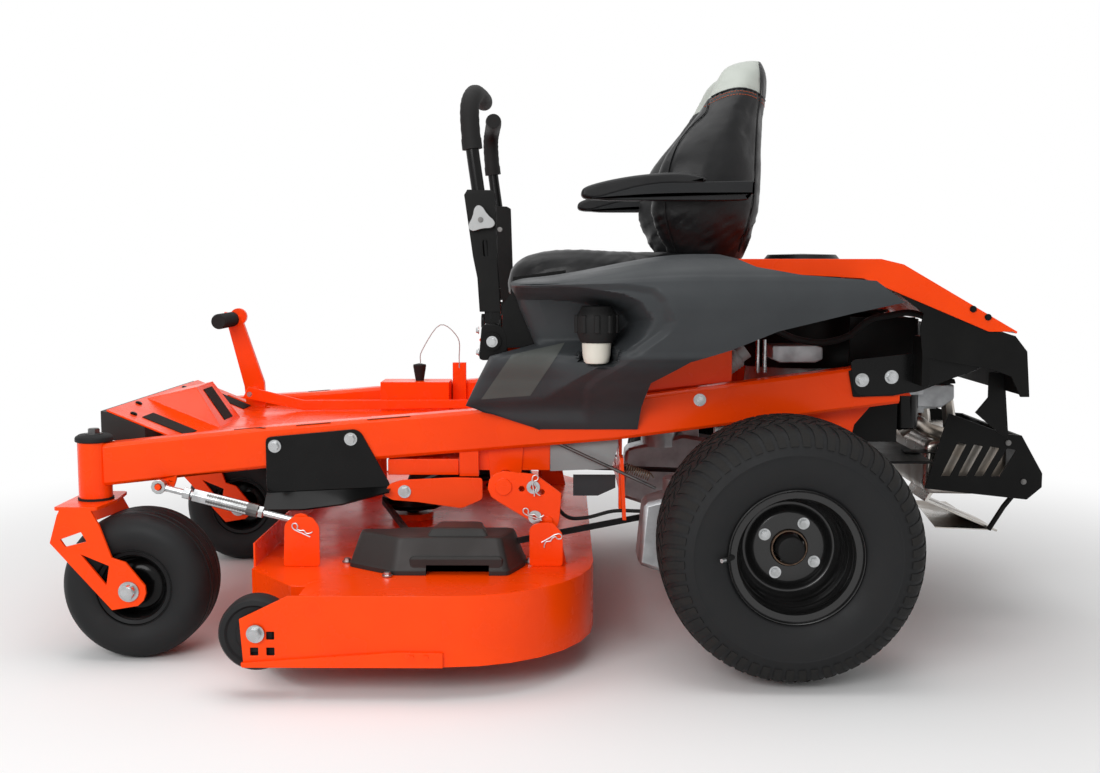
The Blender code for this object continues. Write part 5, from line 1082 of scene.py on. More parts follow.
def make_fenders():
    near = fender(True)
    corners = [Vector(p) for p in ((-0.560, 0.492), (-0.467, 0.500), (-0.402, 0.602), (-0.500, 0.580))]
    tree = BVHTree.FromBMesh(near)
    grid = []
    for i in range(17):
        low = corners[0].lerp(corners[1], i / 16)
        high = corners[3].lerp(corners[2], i / 16)
        rows = [low.lerp(high, k / 16) for k in range(17)]
        skin = cast(tree, [(r.x, -1, r.y) for r in rows], (0, 1, 0))
        grid.append([p - Vector((0, 0.0012, 0)) for p in skin] + [p + Vector((0, 0.002, 0)) for p in reversed(skin)])
    pad = solid(grid)
    piece("fender_body_left", near, "fender_plastic", "chassis", ["fender_left"], 42)
    piece("fender_pad", pad, "fender_pad", "chassis", (), 50)
    piece("fender_body_right", mirrored(fender(False), 1), "fender_plastic", "chassis", ["fender_right"], 42)
    top = (CAP_X, -CAP_Y, CAP_Z)
    cap = [(0, 0), (0.0285, 0), (0.0310, 0.004), (0.0345, 0.014), (0.0368, 0.022), (0.0372, 0.044), (0.0350, 0.052),
           (0.0305, 0.058), (0.0285, 0.0625), (0.0265, 0.0655), (0.0235, 0.0640), (0, 0.0640)]
    rib = rounded([(-0.0062, 0.0345), (0.0062, 0.0345), (0.0046, 0.0405), (-0.0046, 0.0405)], 0.003, 3)
    ribs = turned(grown(RING, slab(rib, 0.018, 0.050, 0.0015), "grip_rubber", Count=9), "X", 90, top)
    piece("fuel_cap_turned", revolve(cap, top, "Z", 56), "grip_rubber", "cap", ["fuel_cap"], 35)
    piece("fuel_cap_grips", ribs, "grip_rubber", "cap", (), 30)
    tank = slab(rounded([(-0.412, -0.335), (-0.412, -0.405), (-0.285, -0.405), (-0.285, -0.335)], 0.02, 4), 0.4925, 0.585, 0.010, "Z")
    neck = revolve([(0, 0.5685), (0.0190, 0.5685), (0.0225, 0.5715), (0.0250, 0.582), (0.0262, 0.600), (0.0262, 0.6058), (0, 0.6058)], (CAP_X, -CAP_Y, 0), "Z", 40)
    piece("fuel_tank_moulding", merged(tank, neck), "natural_poly", "chassis", ["fuel_tank"], 40)


def lever_route(side):
    """The lap bar's bends, from its foot up to the turned-in handle."""
    y = side * LEVER_Y
    foot = LEVER_Z + 0.042
    places = ((-0.002, 0, 0), (-0.010, 0, 0.12), (-0.026, 0, 0.24), (-0.038, 0, 0.33), (-0.042, 0.004, 0.395),
              (-0.036, 0.035, 0.425), (-0.030, 0.10, 0.430), (-0.026, 0.175, 0.430))
    return smooth_route([(LEVER_X + a, y - side * b, foot + c) for a, b, c in places], 8)


def three_lobe_knob(centre, side):
    """A hand knob with three lobes and a sunk screw."""
    outline = []
    for k in range(72):
        turn = 2 * math.pi * k / 72
        radius = 0.0165 + 0.0105 * (0.5 + 0.5 * math.cos(3 * turn)) ** 1.6
        outline.append((centre[0] + radius * math.cos(turn + 1.75), centre[2] + radius * math.sin(turn + 1.75)))
    near = side * abs(centre[1])
    knob = prism(outline, *sorted((near, near + side * 0.018)), "Y")
    return soften(knob, 0.003, 50, 3)


def make_levers():
    for name, side in SIDES:
        body = f"lap_{name}"
        y = side * LEVER_Y
        route = lever_route(side)
        piece(f"lap_bar_tube_{name}", pipe(route, 0.0125, 20), "gloss_black", body, [f"lap_bar_{name}"], 60)
        held = [p for p in route if p.z > 0.968]
        end = held[-1] + (held[-1] - held[-2]).normalized() * 0.012
        sleeve = [held[0] - Vector((0, 0, 0.004)), *held, end]
        sizes = [0.0150] + [0.0178 + 0.0006 * (i % 2) for i in range(len(held))] + [0.0165]
        piece(f"grip_sleeve_{name}", pipe(sleeve, sizes, 24), "grip_rubber", body, [f"lever_grip_{name}"], 60)
        collar = [p for p in route if 0.955 < p.z < 0.985]
        piece(f"grip_collar_{name}", pipe(collar, 0.0192, 24), "grip_rubber", body, (), 40)
        plate = [(-0.5640, 0.6560), (-0.5240, 0.6560), (-0.5300, 0.7450), (-0.5340, 0.8800), (-0.5430, 0.8850)]
        plate += [(-0.5860, 0.8860), (-0.5920, 0.8760), (-0.5760, 0.7600), (-0.5680, 0.7200)]
        slot = rounded([(-0.5560, 0.7600), (-0.5470, 0.7600), (-0.5490, 0.7920), (-0.5580, 0.7920)], 0.004, 3)
        wall = sorted((y + side * 0.0122, y + side * 0.0162))
        strap = prism(plate, *wall, "Y", (slot,))
        piece(f"lever_plate_{name}", soften(strap, 0.0008, 40), "black_powder_coat", body, (), 38)
        inner = sorted((y - side * 0.0122, y - side * 0.0162))
        piece(f"lever_back_plate_{name}", slab(plate, *inner, 0.0008), "black_powder_coat", body, (), 38)
        hub = (-0.5600, LEVER_Y + 0.0165, 0.8290)
        piece(f"lever_knob_{name}", three_lobe_knob(hub, side), "knob_nylon", body, (), 45)
        screw = [((hub[0], side * (hub[1] + 0.0175), hub[2]), (0, side, 0), 0.0052)]
        screw += [((hub[0], side * (LEVER_Y - 0.016), hub[2]), (0, -side, 0), 0.0060)]
        piece(f"lever_knob_screw_{name}", studs(ROUND_HEAD, "dark_steel", screw), "dark_steel", body, (), 30)
        tongue = block((-0.5550, y - 0.0118, 0.6330), (-0.5250, y + 0.0118, 0.7000))
        piece(f"lever_tongue_{name}", soften(tongue, 0.001, 40), "black_powder_coat", body, (), 38)
        seat_ring = washer((LEVER_X, LEVER_Y + 0.0245, LEVER_Z), side, 0.0050, 0.0170, 0.0022)
        piece(f"lever_washer_{name}", seat_ring, "black_powder_coat", f"lever_{name}", (), 35)
        panel = [(-0.521, 0.588), (-0.521, 0.668), (-0.505, 0.690), (-0.500, 0.722), (-0.400, 0.735), (-0.400, 0.588)]
        wall = sorted((side * 0.3722, side * 0.3745))
        piece(f"console_side_{name}", prism(panel, *wall, "Y"), "black_powder_coat", "chassis")
        pivot = [((LEVER_X, side * (LEVER_Y + 0.0265), LEVER_Z), (0, side, 0), 0.0075)]
        pivot += [((LEVER_X - 0.027, y, LEVER_Z + dz), (-1, 0, 0), 0.0050) for dz in (-0.022, 0.020)]
        piece(f"lever_bolts_{name}", studs(HEX_BOLT, "zinc_plate", pivot), "zinc_plate", f"lever_{name}", (), 30)


# Trim that is bolted on

def carved(mesh, *cutters):
    """A mesh with other meshes cut out of it."""
    made = []
    for part in (mesh, *cutters):
        data = bpy.data.meshes.new("helper")
        part.to_mesh(data)
        part.free()
        made.append(bpy.data.objects.new("helper", data))
        bpy.context.scene.collection.objects.link(made[-1])
    for cutter in made[1:]:
        step = made[0].modifiers.new("cut", "BOOLEAN")
        step.object = cutter
    graph = bpy.context.evaluated_depsgraph_get()
    result = bmesh.new()
    result.from_mesh(made[0].evaluated_get(graph).to_mesh())
    for helper in made:
        bpy.data.objects.remove(helper, do_unlink=True)
    return result


def block(low, high):
    """A box between two corners."""
    outline = [(low[0], low[1]), (high[0], low[1]), (high[0], high[1]), (low[0], high[1])]
    return prism(outline, low[2], high[2], "Z")


def drawn_in(outline, inset):
    """A straight-sided outline with each side moved in by the same amount."""
    line = [Vector(p) for p in outline]
    area = sum(a.x * b.y - b.x * a.y for a, b in zip(line, line[1:] + line[:1]))
    made = []
    for i, here in enumerate(line):
        before = (here - line[i - 1]).normalized()
        after = (line[(i + 1) % len(line)] - here).normalized()
        way = Vector((-before.y - after.y, before.x + after.x)) * (1 if area > 0 else -1)
        made.append(here + way * inset / (1 + before.dot(after)))
    return made


def moulding(outline, levels, radius):
    """A cover drawn in by an amount at each height, from (inset, height) levels."""
    return solid([[(*p, z) for p in rounded(drawn_in(outline, inset), radius, 3)] for inset, z in levels])


def coil(start, end, radius, turns, wire):
    """A spring wound between two points, with its ends led to the axis."""
    start, end = Vector(start), Vector(end)
    ahead = (end - start).normalized()
    side = ahead.orthogonal().normalized()
    other = ahead.cross(side)
    line = [start]
    steps = turns * 12
    for k in range(steps + 1):
        turn = 2 * math.pi * k / 12
        along = 0.12 + 0.76 * k / steps
        line.append(start.lerp(end, along) + radius * (math.cos(turn) * side + math.sin(turn) * other))
    return pipe([*line, end], wire, 6)


def hairpin(centre, side, turn):
    """A wire clip: a straight leg, a round eye and a waved leg."""
    shape = ((0, -0.017), (0, 0), (0, 0.013), (0.0025, 0.0205), (0.0085, 0.0225), (0.0120, 0.0175), (0.0085, 0.0125),
             (0.0035, 0.0115), (0.0032, 0.005), (0.0062, -0.001), (0.0032, -0.008), (0.0070, -0.0145), (0.0110, -0.017))
    c, s = math.cos(math.radians(turn)), math.sin(math.radians(turn))
    places = [(centre[0] + c * a - s * b, side * centre[1], centre[2] + s * a + c * b) for a, b in shape]
    return pipe(smooth_route(places, 4), 0.0013, 8)


def washer(centre, side, inner=0.0052, outer=0.0125, thick=0.0028):
    """A flat ring lying against an outer face."""
    near, far = sorted((side * centre[1], side * (centre[1] + thick)))
    return revolve([(inner, near), (outer, near), (outer, far), (inner, far)], (centre[0], 0, centre[2]), "Y", 28)


def surface_of(node):
    """A CAD node's surface, for placing trim on it."""
    mesh = bmesh.new()
    mesh.from_mesh(frame["nodes"][node].data)
    bmesh.ops.translate(mesh, verts=mesh.verts, vec=-SHIFT)
    tree = BVHTree.FromBMesh(mesh)
    mesh.free()
    return tree


def drop_on(tree, x, y):
    """The point and normal straight below a place."""
    point, normal, _, _ = tree.ray_cast(Vector((x, y, 2)), Vector((0, 0, -1)))
    return point, normal


def ribbon(tree, start, end, half, thick):
    """A strip laid on a surface from one (X, Y) to another."""
    rings = []
    for k in range(13):
        x = start[0] + (end[0] - start[0]) * k / 12
        y = start[1] + (end[1] - start[1]) * k / 12
        point, normal = drop_on(tree, x, y)
        top = point + normal * thick
        low = point - normal * 0.0006
        step = Vector((0, half, 0))
        rings.append([top - step, top + step, low + step, low - step])
    return solid(rings)


def bolts(name, tree, finish_name, body, places, size):
    """One set of fasteners, each at a place and along its aim."""
    heads = studs(tree, finish_name, [(p, aim, size) for p, aim in places])
    piece(name, heads, finish_name, body, (), 30)


def make_frame_trim():
    outer = 0.3660
    for name, side in SIDES:
        out = (0, side, 0)
        places = [((x, side * outer, z), out) for x, z in ((-0.961, 0.397), (-0.814, 0.411))]
        bolts(f"step_bolts_{name}", HEX_BOLT, "zinc_plate", "chassis", places, 0.0088)
        bolts(f"rail_bolt_{name}", HEX_BOLT, "zinc_plate", "chassis", [((-0.143, side * 0.3605, 0.487), out)], 0.0085)
        bracket = ((0.143, 0.564), (0.284, 0.580), (0.339, 0.566), (0.404, 0.556), (0.375, 0.542), (0.325, 0.525),
                   (0.276, 0.504), (0.236, 0.499), (0.167, 0.495), (0.150, 0.503))
        wall = sorted((side * 0.3610, side * 0.3662))
        plate = soften(prism(rounded(bracket, 0.010, 3), *wall, "Y"), 0.0008, 40)
        piece(f"guard_bracket_{name}", plate, "gloss_black", "chassis")
        places = [((x, side * 0.3666, z), out) for x, z in ((0.165, 0.526), (0.221, 0.532))]
        bolts(f"bracket_bolts_{name}", HEX_BOLT, "zinc_plate", "chassis", places, 0.0092)
        rail = surface_of(f"frame_rail_{name}")
        # Near-black strips laid on the rail stand for its slots: painted shade in the openings
        spans = ((-1.041, -0.980), (-0.921, -0.854), (-0.783, -0.700))
        painted_slot_shades = [ribbon(rail, (a, side * 0.3550), (b, side * 0.3550), 0.0022, 0.0008) for a, b in spans]
        piece(f"rail_slits_{name}", merged(*painted_slot_shades), "grip_strip", "chassis")
        arm = ((-0.752, 0.305), (-0.738, 0.326), (-0.715, 0.333), (-0.613, 0.338), (-0.560, 0.337), (-0.560, 0.296),
               (-0.600, 0.278), (-0.683, 0.290), (-0.734, 0.294))
        wall = sorted((side * 0.372, side * 0.377))
        plate = soften(prism(rounded(arm, 0.006, 3), *wall, "Y"), 0.0008, 40)
        piece(f"lift_stay_{name}", plate, "orange_enamel", "deck")
        bolts(f"stay_bolt_{name}", HEX_BOLT, "zinc_plate", "deck", [((-0.710, side * 0.3775, 0.311), out)], 0.0088)
        support = ((0.404, 0.456), (0.428, 0.486), (0.428, 0.535), (0.458, 0.535), (0.470, 0.405), (0.452, 0.415))
        wall = sorted((side * 0.300, side * 0.305))
        piece(f"guard_stay_{name}", prism(support, *wall, "Y"), "black_powder_coat", "chassis")
        places = [((x, side * 0.4305, z), out) for x, z in ((0.351, 0.664), (0.379, 0.649))]
        bolts(f"cover_screws_{name}", ROUND_HEAD, "black_powder_coat", "chassis", places, 0.0062)
        places = [((x, side * 0.1905, z), out) for x, z in ((0.511, 0.380), (0.545, 0.299))]
        bolts(f"shield_bolts_{name}", ROUND_HEAD, "dark_steel", "chassis", places, 0.0060)


def trimmed(node, *cutters):
    """A copy of a CAD node with pieces cut away and its edges broken."""
    mesh = bmesh.new()
    mesh.from_mesh(frame["nodes"][node].data)
    bmesh.ops.translate(mesh, verts=mesh.verts, vec=-SHIFT)
    made = carved(mesh, *cutters)
    bmesh.ops.dissolve_limit(made, angle_limit=math.radians(0.4), verts=made.verts, edges=made.edges)
    return soften(made, 0.0010)


def make_rear_plates():
    """The engine's carrier, its cheeks cut back behind the drive wheels, and the rear guard."""
    cheek = [(0.214, 0.4895), (0.166, 0.433), (0.150, 0.362), (0.400, 0.362), (0.400, 0.4895)]
    cuts = [prism(cheek, *wall, "Y") for wall in ((-0.330, -0.296), (0.296, 0.330))]
    front = trimmed("engine_plate", block((0.2150, -0.4, 0.3), (0.5, 0.4, 0.4850)), *cuts)
    rear = trimmed("engine_plate", block((0, -0.4, 0.3), (0.2152, 0.4, 0.6)), block((0.2, -0.4, 0.4848), (0.5, 0.4, 0.6)),
                   block((0.2, -0.4, 0.3), (0.5, -0.29, 0.6)), block((0.2, 0.29, 0.3), (0.5, 0.4, 0.6)))
    piece("engine_plate_front", front, "orange_enamel", "chassis", ["engine_plate"])
    piece("engine_plate_rear", rear, "black_powder_coat", "chassis")
    arm = [(0.120, 0.470), (0.120, 0.4935), (0.163, 0.4935), (0.251, 0.4965), (0.310, 0.470)]
    cuts = [prism(arm, *wall, "Y") for wall in ((-0.45, -0.335), (0.335, 0.45))]
    piece("rear_guard_bent", trimmed("rear_guard", *cuts), "black_powder_coat", "chassis", ["rear_guard"])
    baffles = [block((0.170, -0.236, 0.545), (0.300, -0.230, 0.640)), block((0.150, -0.262, 0.392), (0.262, -0.256, 0.505))]
    piece("engine_baffles", merged(*baffles), "black_powder_coat", "chassis")


def make_side_steps():
    """The folded guards under the rails: a face with a lip turned out along its foot."""
    face = [(-0.979, 0.3060), (-0.979, 0.4140), (-0.806, 0.4300), (-0.794, 0.4230), (-0.737, 0.3180)]
    lip = [(-0.979, 0.3062), (-0.737, 0.3182)], [(-0.977, 0.2790), (-0.904, 0.2800), (-0.828, 0.2900), (-0.735, 0.3150)]
    for name, side in SIDES:
        plate = soften(prism(rounded(face, 0.010, 3), *sorted((side * 0.3610, side * 0.3645)), "Y"), 0.0008, 40)
        rings = []
        for k in range(25):
            t = k / 24
            x = lip[0][0][0] + (lip[0][1][0] - lip[0][0][0]) * t
            top = (x, side * 0.3630, at(lip[0], x))
            low = (x, side * 0.3960, min(at(lip[1], x), at(lip[0], x) - 0.001))
            rings.append([top, low, (low[0], low[1] - side * 0.001, low[2] - 0.003), (top[0], top[1] - side * 0.002, top[2] - 0.003)])
        piece(f"side_step_folded_{name}", merged(plate, solid(rings)), "gloss_black", "chassis", [f"side_step_{name}"], 35)


def make_under_frame():
    """Rods, cable, spring and panels seen between the deck and the drive wheels."""
    for name, side in SIDES:
        rod = smooth_route([(-0.424, side * 0.350, 0.405), (-0.316, side * 0.350, 0.355), (-0.225, side * 0.350, 0.313)], 4)
        piece(f"control_rod_{name}", pipe(rod, 0.0032, 10), "dark_steel", "chassis", (), 60)
        spring = coil((-0.290, side * 0.332, 0.354), (-0.228, side * 0.332, 0.330), 0.0085, 11, 0.0012)
        piece(f"tension_spring_{name}", spring, "rusted_edge", "chassis", (), 60)
        cable = smooth_route([(-0.430, side * 0.345, 0.292), (-0.398, side * 0.345, 0.256), (-0.359, side * 0.345, 0.254),
                              (-0.307, side * 0.345, 0.267), (-0.255, side * 0.345, 0.267)], 6)
        piece(f"brake_cable_{name}", pipe(cable, 0.0036, 10), "grip_rubber", "chassis", (), 60)
        tab = [(-0.295, 0.372), (-0.288, 0.372), (-0.282, 0.250), (-0.289, 0.250)]
        piece(f"brake_tab_{name}", prism(tab, *sorted((side * 0.315, side * 0.350)), "Y"), "orange_enamel", "chassis")
        panel = [(-0.385, 0.330), (-0.301, 0.330), (-0.301, 0.304), (-0.336, 0.288), (-0.385, 0.288)]
        piece(f"under_panel_{name}", prism(panel, *sorted((side * 0.292, side * 0.296)), "Y"), "fender_plastic", "chassis")
        inner = sorted((side * 0.331, side * 0.335))
        web = [(-0.569, 0.346), (-0.431, 0.346), (-0.431, 0.420), (-0.569, 0.420)]
        piece(f"frame_web_{name}", prism(web, *inner, "Y"), "orange_enamel", "chassis")
        panel = [(-0.430, 0.344), (-0.311, 0.349), (-0.298, 0.393), (-0.298, 0.430), (-0.430, 0.430)]
        piece(f"tank_panel_{name}", prism(panel, *inner, "Y"), "grey_panel", "chassis")
        stay = [(-0.606, 0.3365), (-0.569, 0.3365), (-0.569, 0.420), (-0.606, 0.420)]
        piece(f"cross_bracket_{name}", prism(stay, *sorted((side * 0.330, side * 0.352)), "Y"), "orange_enamel", "chassis")
    beam = soften(block((-0.746, -0.345, 0.3375), (-0.608, 0.345, 0.3690)), 0.002, 40)
    piece("cross_member", beam, "orange_enamel", "chassis")


def belt_cover():
    """A moulded cover: a drawn-in base, a raised arch and two feet at the front."""
    base = [(-0.806, -0.400), (-0.806, -0.452), (-0.715, -0.519), (-0.505, -0.519), (-0.476, -0.445), (-0.476, -0.386),
            (-0.716, -0.386), (-0.735, -0.400)]
    arch = [(-0.688, -0.516), (-0.512, -0.516), (-0.530, -0.390), (-0.664, -0.390)]
    low = moulding(base, ((0, 0.1825), (0, 0.190), (0.003, 0.1945), (0.019, 0.241), (0.022, 0.2465), (0.028, 0.249)), 0.010)
    high = moulding(arch, ((0, 0.1825), (0.001, 0.211), (0.004, 0.215), (0.012, 0.2185), (0.030, 0.257),
                                              (0.033, 0.2615), (0.038, 0.2635)), 0.008)
    gap = ((-0.655, -0.560, 0.170), (-0.540, -0.490, 0.2005))
    return merged(carved(low, block(*gap)), carved(high, block(*gap)))


def make_deck_trim():
    for name, side in SIDES:
        cover = mirrored(belt_cover(), side)
        piece(f"belt_cover_moulding_{name}", cover, "belt_cover_plastic", "deck", [f"belt_cover_{name}"], 24)
        up = (0, 0, 1)
        places = [((x, side * y, 0.1840), up) for x, y in ((-0.815, 0.420), (-0.724, 0.527), (-0.468, 0.420))]
        bolts(f"belt_cover_bolts_{name}", HEX_BOLT, "zinc_plate", "deck", places, 0.0068)
        wheel = ((0.010, -0.022), (0.030, -0.0225), (0.034, -0.019), (0.048, -0.019), (0.052, -0.0230), (0.0600, -0.0215),
                 (0.0645, -0.0150), (0.0650, 0), (0.0645, 0.0150), (0.0600, 0.0215), (0.052, 0.0230), (0.010, 0.0225))
        turned_wheel = revolve(wheel, (-0.937, side * 0.629, 0.111), "Y", 56)
        piece(f"scalp_roller_{name}", turned_wheel, "tyre_rubber", f"scalp_{name}", [f"scalp_wheel_{name}"], 35)
        places = [((-0.932, side * 0.6642, 0.117), (0, side, 0))]
        bolts(f"scalp_bolt_{name}", HEX_BOLT, "zinc_plate", "deck", places, 0.0110)
        rings = [washer((x, 0.4315, z), side) for x, z in ((-0.461, 0.330), (-0.458, 0.273))]
        clips = [hairpin((-0.461, 0.4365, 0.330), side, 8), hairpin((-0.461, 0.4365, 0.273), side, 70)]
        piece(f"crank_washers_{name}", merged(*rings), "zinc_plate", "lift", (), 35)
        piece(f"crank_clips_{name}", merged(*clips), "steel_wire", "lift", (), 60)
        hanger = [(-0.468, 0.1825), (-0.468, 0.2545), (-0.457, 0.2635), (-0.424, 0.2655), (-0.4055, 0.2435), (-0.4055, 0.1825)]
        wall = sorted((side * 0.4428, side * 0.4462))
        plate = soften(prism(rounded(hanger, 0.006, 3), *wall, "Y"), 0.0006, 40)
        ear = [(-0.929, 0.1825), (-0.926, 0.2620), (-0.912, 0.2760), (-0.874, 0.2760), (-0.861, 0.2580), (-0.861, 0.1825)]
        front = soften(prism(rounded(ear, 0.006, 3), *sorted((side * 0.4490, side * 0.4524)), "Y"), 0.0006, 40)
        piece(f"deck_hangers_{name}", merged(plate, front), "orange_enamel", "deck")
        clips = [hairpin((-0.431, 0.4475, 0.236), side, -60), hairpin((-0.893, 0.4550, 0.246), side, 65)]
        piece(f"ear_clips_{name}", merged(*clips), "steel_wire", "deck", (), 60)
    strip = [(-0.958, 0.0600), (-0.958, 0.0660), (-0.690, 0.0850), (-0.611, 0.0840), (-0.611, 0.0575), (-0.956, 0.0575)]
    plate = soften(prism(strip, -0.6660, -0.6600, "Y"), 0.0006, 40)
    piece("wear_strip", plate, "orange_enamel", "deck")
    places = [((x, -0.6662, 0.0765), (0, -1, 0)) for x in (-0.665, -0.640)]
    bolts("wear_strip_bolts", ROUND_HEAD, "orange_enamel", "deck", places, 0.0050)


def make_belt():
    """The drive belt between the deck and the engine's clutch."""
    belt = piece("drive_belt", trimmed("deck_belt"), "tyre_rubber", None, ["deck_belt"])
    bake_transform(belt)


def make_links():
    """The front links' threaded rods, with a knurled sleeve to set their length."""
    front, rear = (-1.165, 0.330), (-0.897, 0.262)

    def along(t):
        return front[0] + (rear[0] - front[0]) * t, front[1] + (rear[1] - front[1]) * t

    for name, side in SIDES:
        y = side * 0.432
        places = []
        sizes = []
        for k in range(41):
            x, z = along(0.33 + 0.37 * k / 40)
            places.append((x, y, z))
            sizes.append(0.0108 if k in (0, 40) else 0.0122 + 0.0005 * (k % 2))
        piece(f"link_sleeve_{name}", pipe(places, sizes, 12), "dark_steel", f"link_{name}", (), 25)
        nuts = []
        for t in (0.315, 0.705):
            x, z = along(t)
            x1, z1 = along(t + 0.022)
            nuts.append(pipe([(x, y, z), (x1, y, z1)], 0.0118, 6))
        piece(f"link_nuts_{name}", merged(*nuts), "zinc_plate", f"link_{name}", (), 25)


def make_footwell():
    back = [(-1.205, 0.490), (-1.143, 0.3975), (-0.980, 0.3975), (-0.980, 0.560), (-1.205, 0.560)]
    floor = trimmed("floor_pan", prism(back, -0.120, 0.120, "Y"))
    pan = BVHTree.FromBMesh(floor)
    piece("floor_pressing", floor, "orange_enamel", "chassis", ["floor_pan"])
    strips = [ribbon(pan, (-1.252, y), (-1.163, y), 0.034, 0.0016) for y in (-0.225, 0.225)]
    strips += [ribbon(pan, (-1.193, 0), (-1.148, 0), 0.032, 0.0016)]
    piece("grip_strips", merged(*strips), "grip_strip", "chassis", (), 40)
    screws = [drop_on(pan, x, y) for x, y in ((-1.268, -0.262), (-1.292, -0.16), (-1.268, 0.262), (-1.292, 0.16))]
    bolts("pan_screws", ROUND_HEAD, "black_powder_coat", "chassis", screws, 0.0070)
    peg = [(0, 0.1475), (0.0155, 0.1475), (0.0178, 0.1500)]
    for k in range(14):
        peg += [(0.0178, 0.152 + 0.008 * k), (0.0165, 0.154 + 0.008 * k), (0.0165, 0.157 + 0.008 * k), (0.0178, 0.159 + 0.008 * k)]
    peg += [(0.0178, 0.2645), (0, 0.2645)]
    piece("pedal_sleeve", revolve(peg, (-1.205, 0, 0.612), "Y", 32), "grip_rubber", "pedal", (), 30)
    knob = [(0, 0.4110), (0.0078, 0.4110), (0.0078, 0.4610), (0.0100, 0.4640), (0.0158, 0.4990), (0.0152, 0.5030), (0.0040, 0.5055), (0, 0.5055)]
    piece("height_pin_knob", revolve(knob, (-0.752, 0.265, 0), "Z", 32), "grip_rubber", "pin", ["height_pin"], 35)
    eye = [(0, 0.2655), (0.0195, 0.2655), (0.0200, 0.2660), (0.0200, 0.2760), (0.0195, 0.2765), (0, 0.2765)]
    piece("pedal_eye", revolve(eye, (-1.1895, 0, 0.6185), "Y", 36), "orange_enamel", "pedal", (), 40)
    bolts("pedal_bolt", HEX_BOLT, "zinc_plate", "pedal", [((-1.150, 0.2060, 0.437), (0, -1, 0))], 0.0080)


def make_lanyard():
    """A thin cord from the height pin's knob to its tie on the tower."""
    route = [(-0.750, 0.265, 0.5066), (-0.746, 0.265, 0.5366), (-0.702, 0.271, 0.5986), (-0.660, 0.279, 0.5666),
             (-0.6585, 0.2923, 0.517), (-0.6585, 0.2943, 0.492)]
    line = smooth_route(route, 5)
    cord = piece("pin_cord", pipe(line, 0.0012, 8), "knob_nylon", None, ["pin_lanyard"], 60)
    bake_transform(cord)


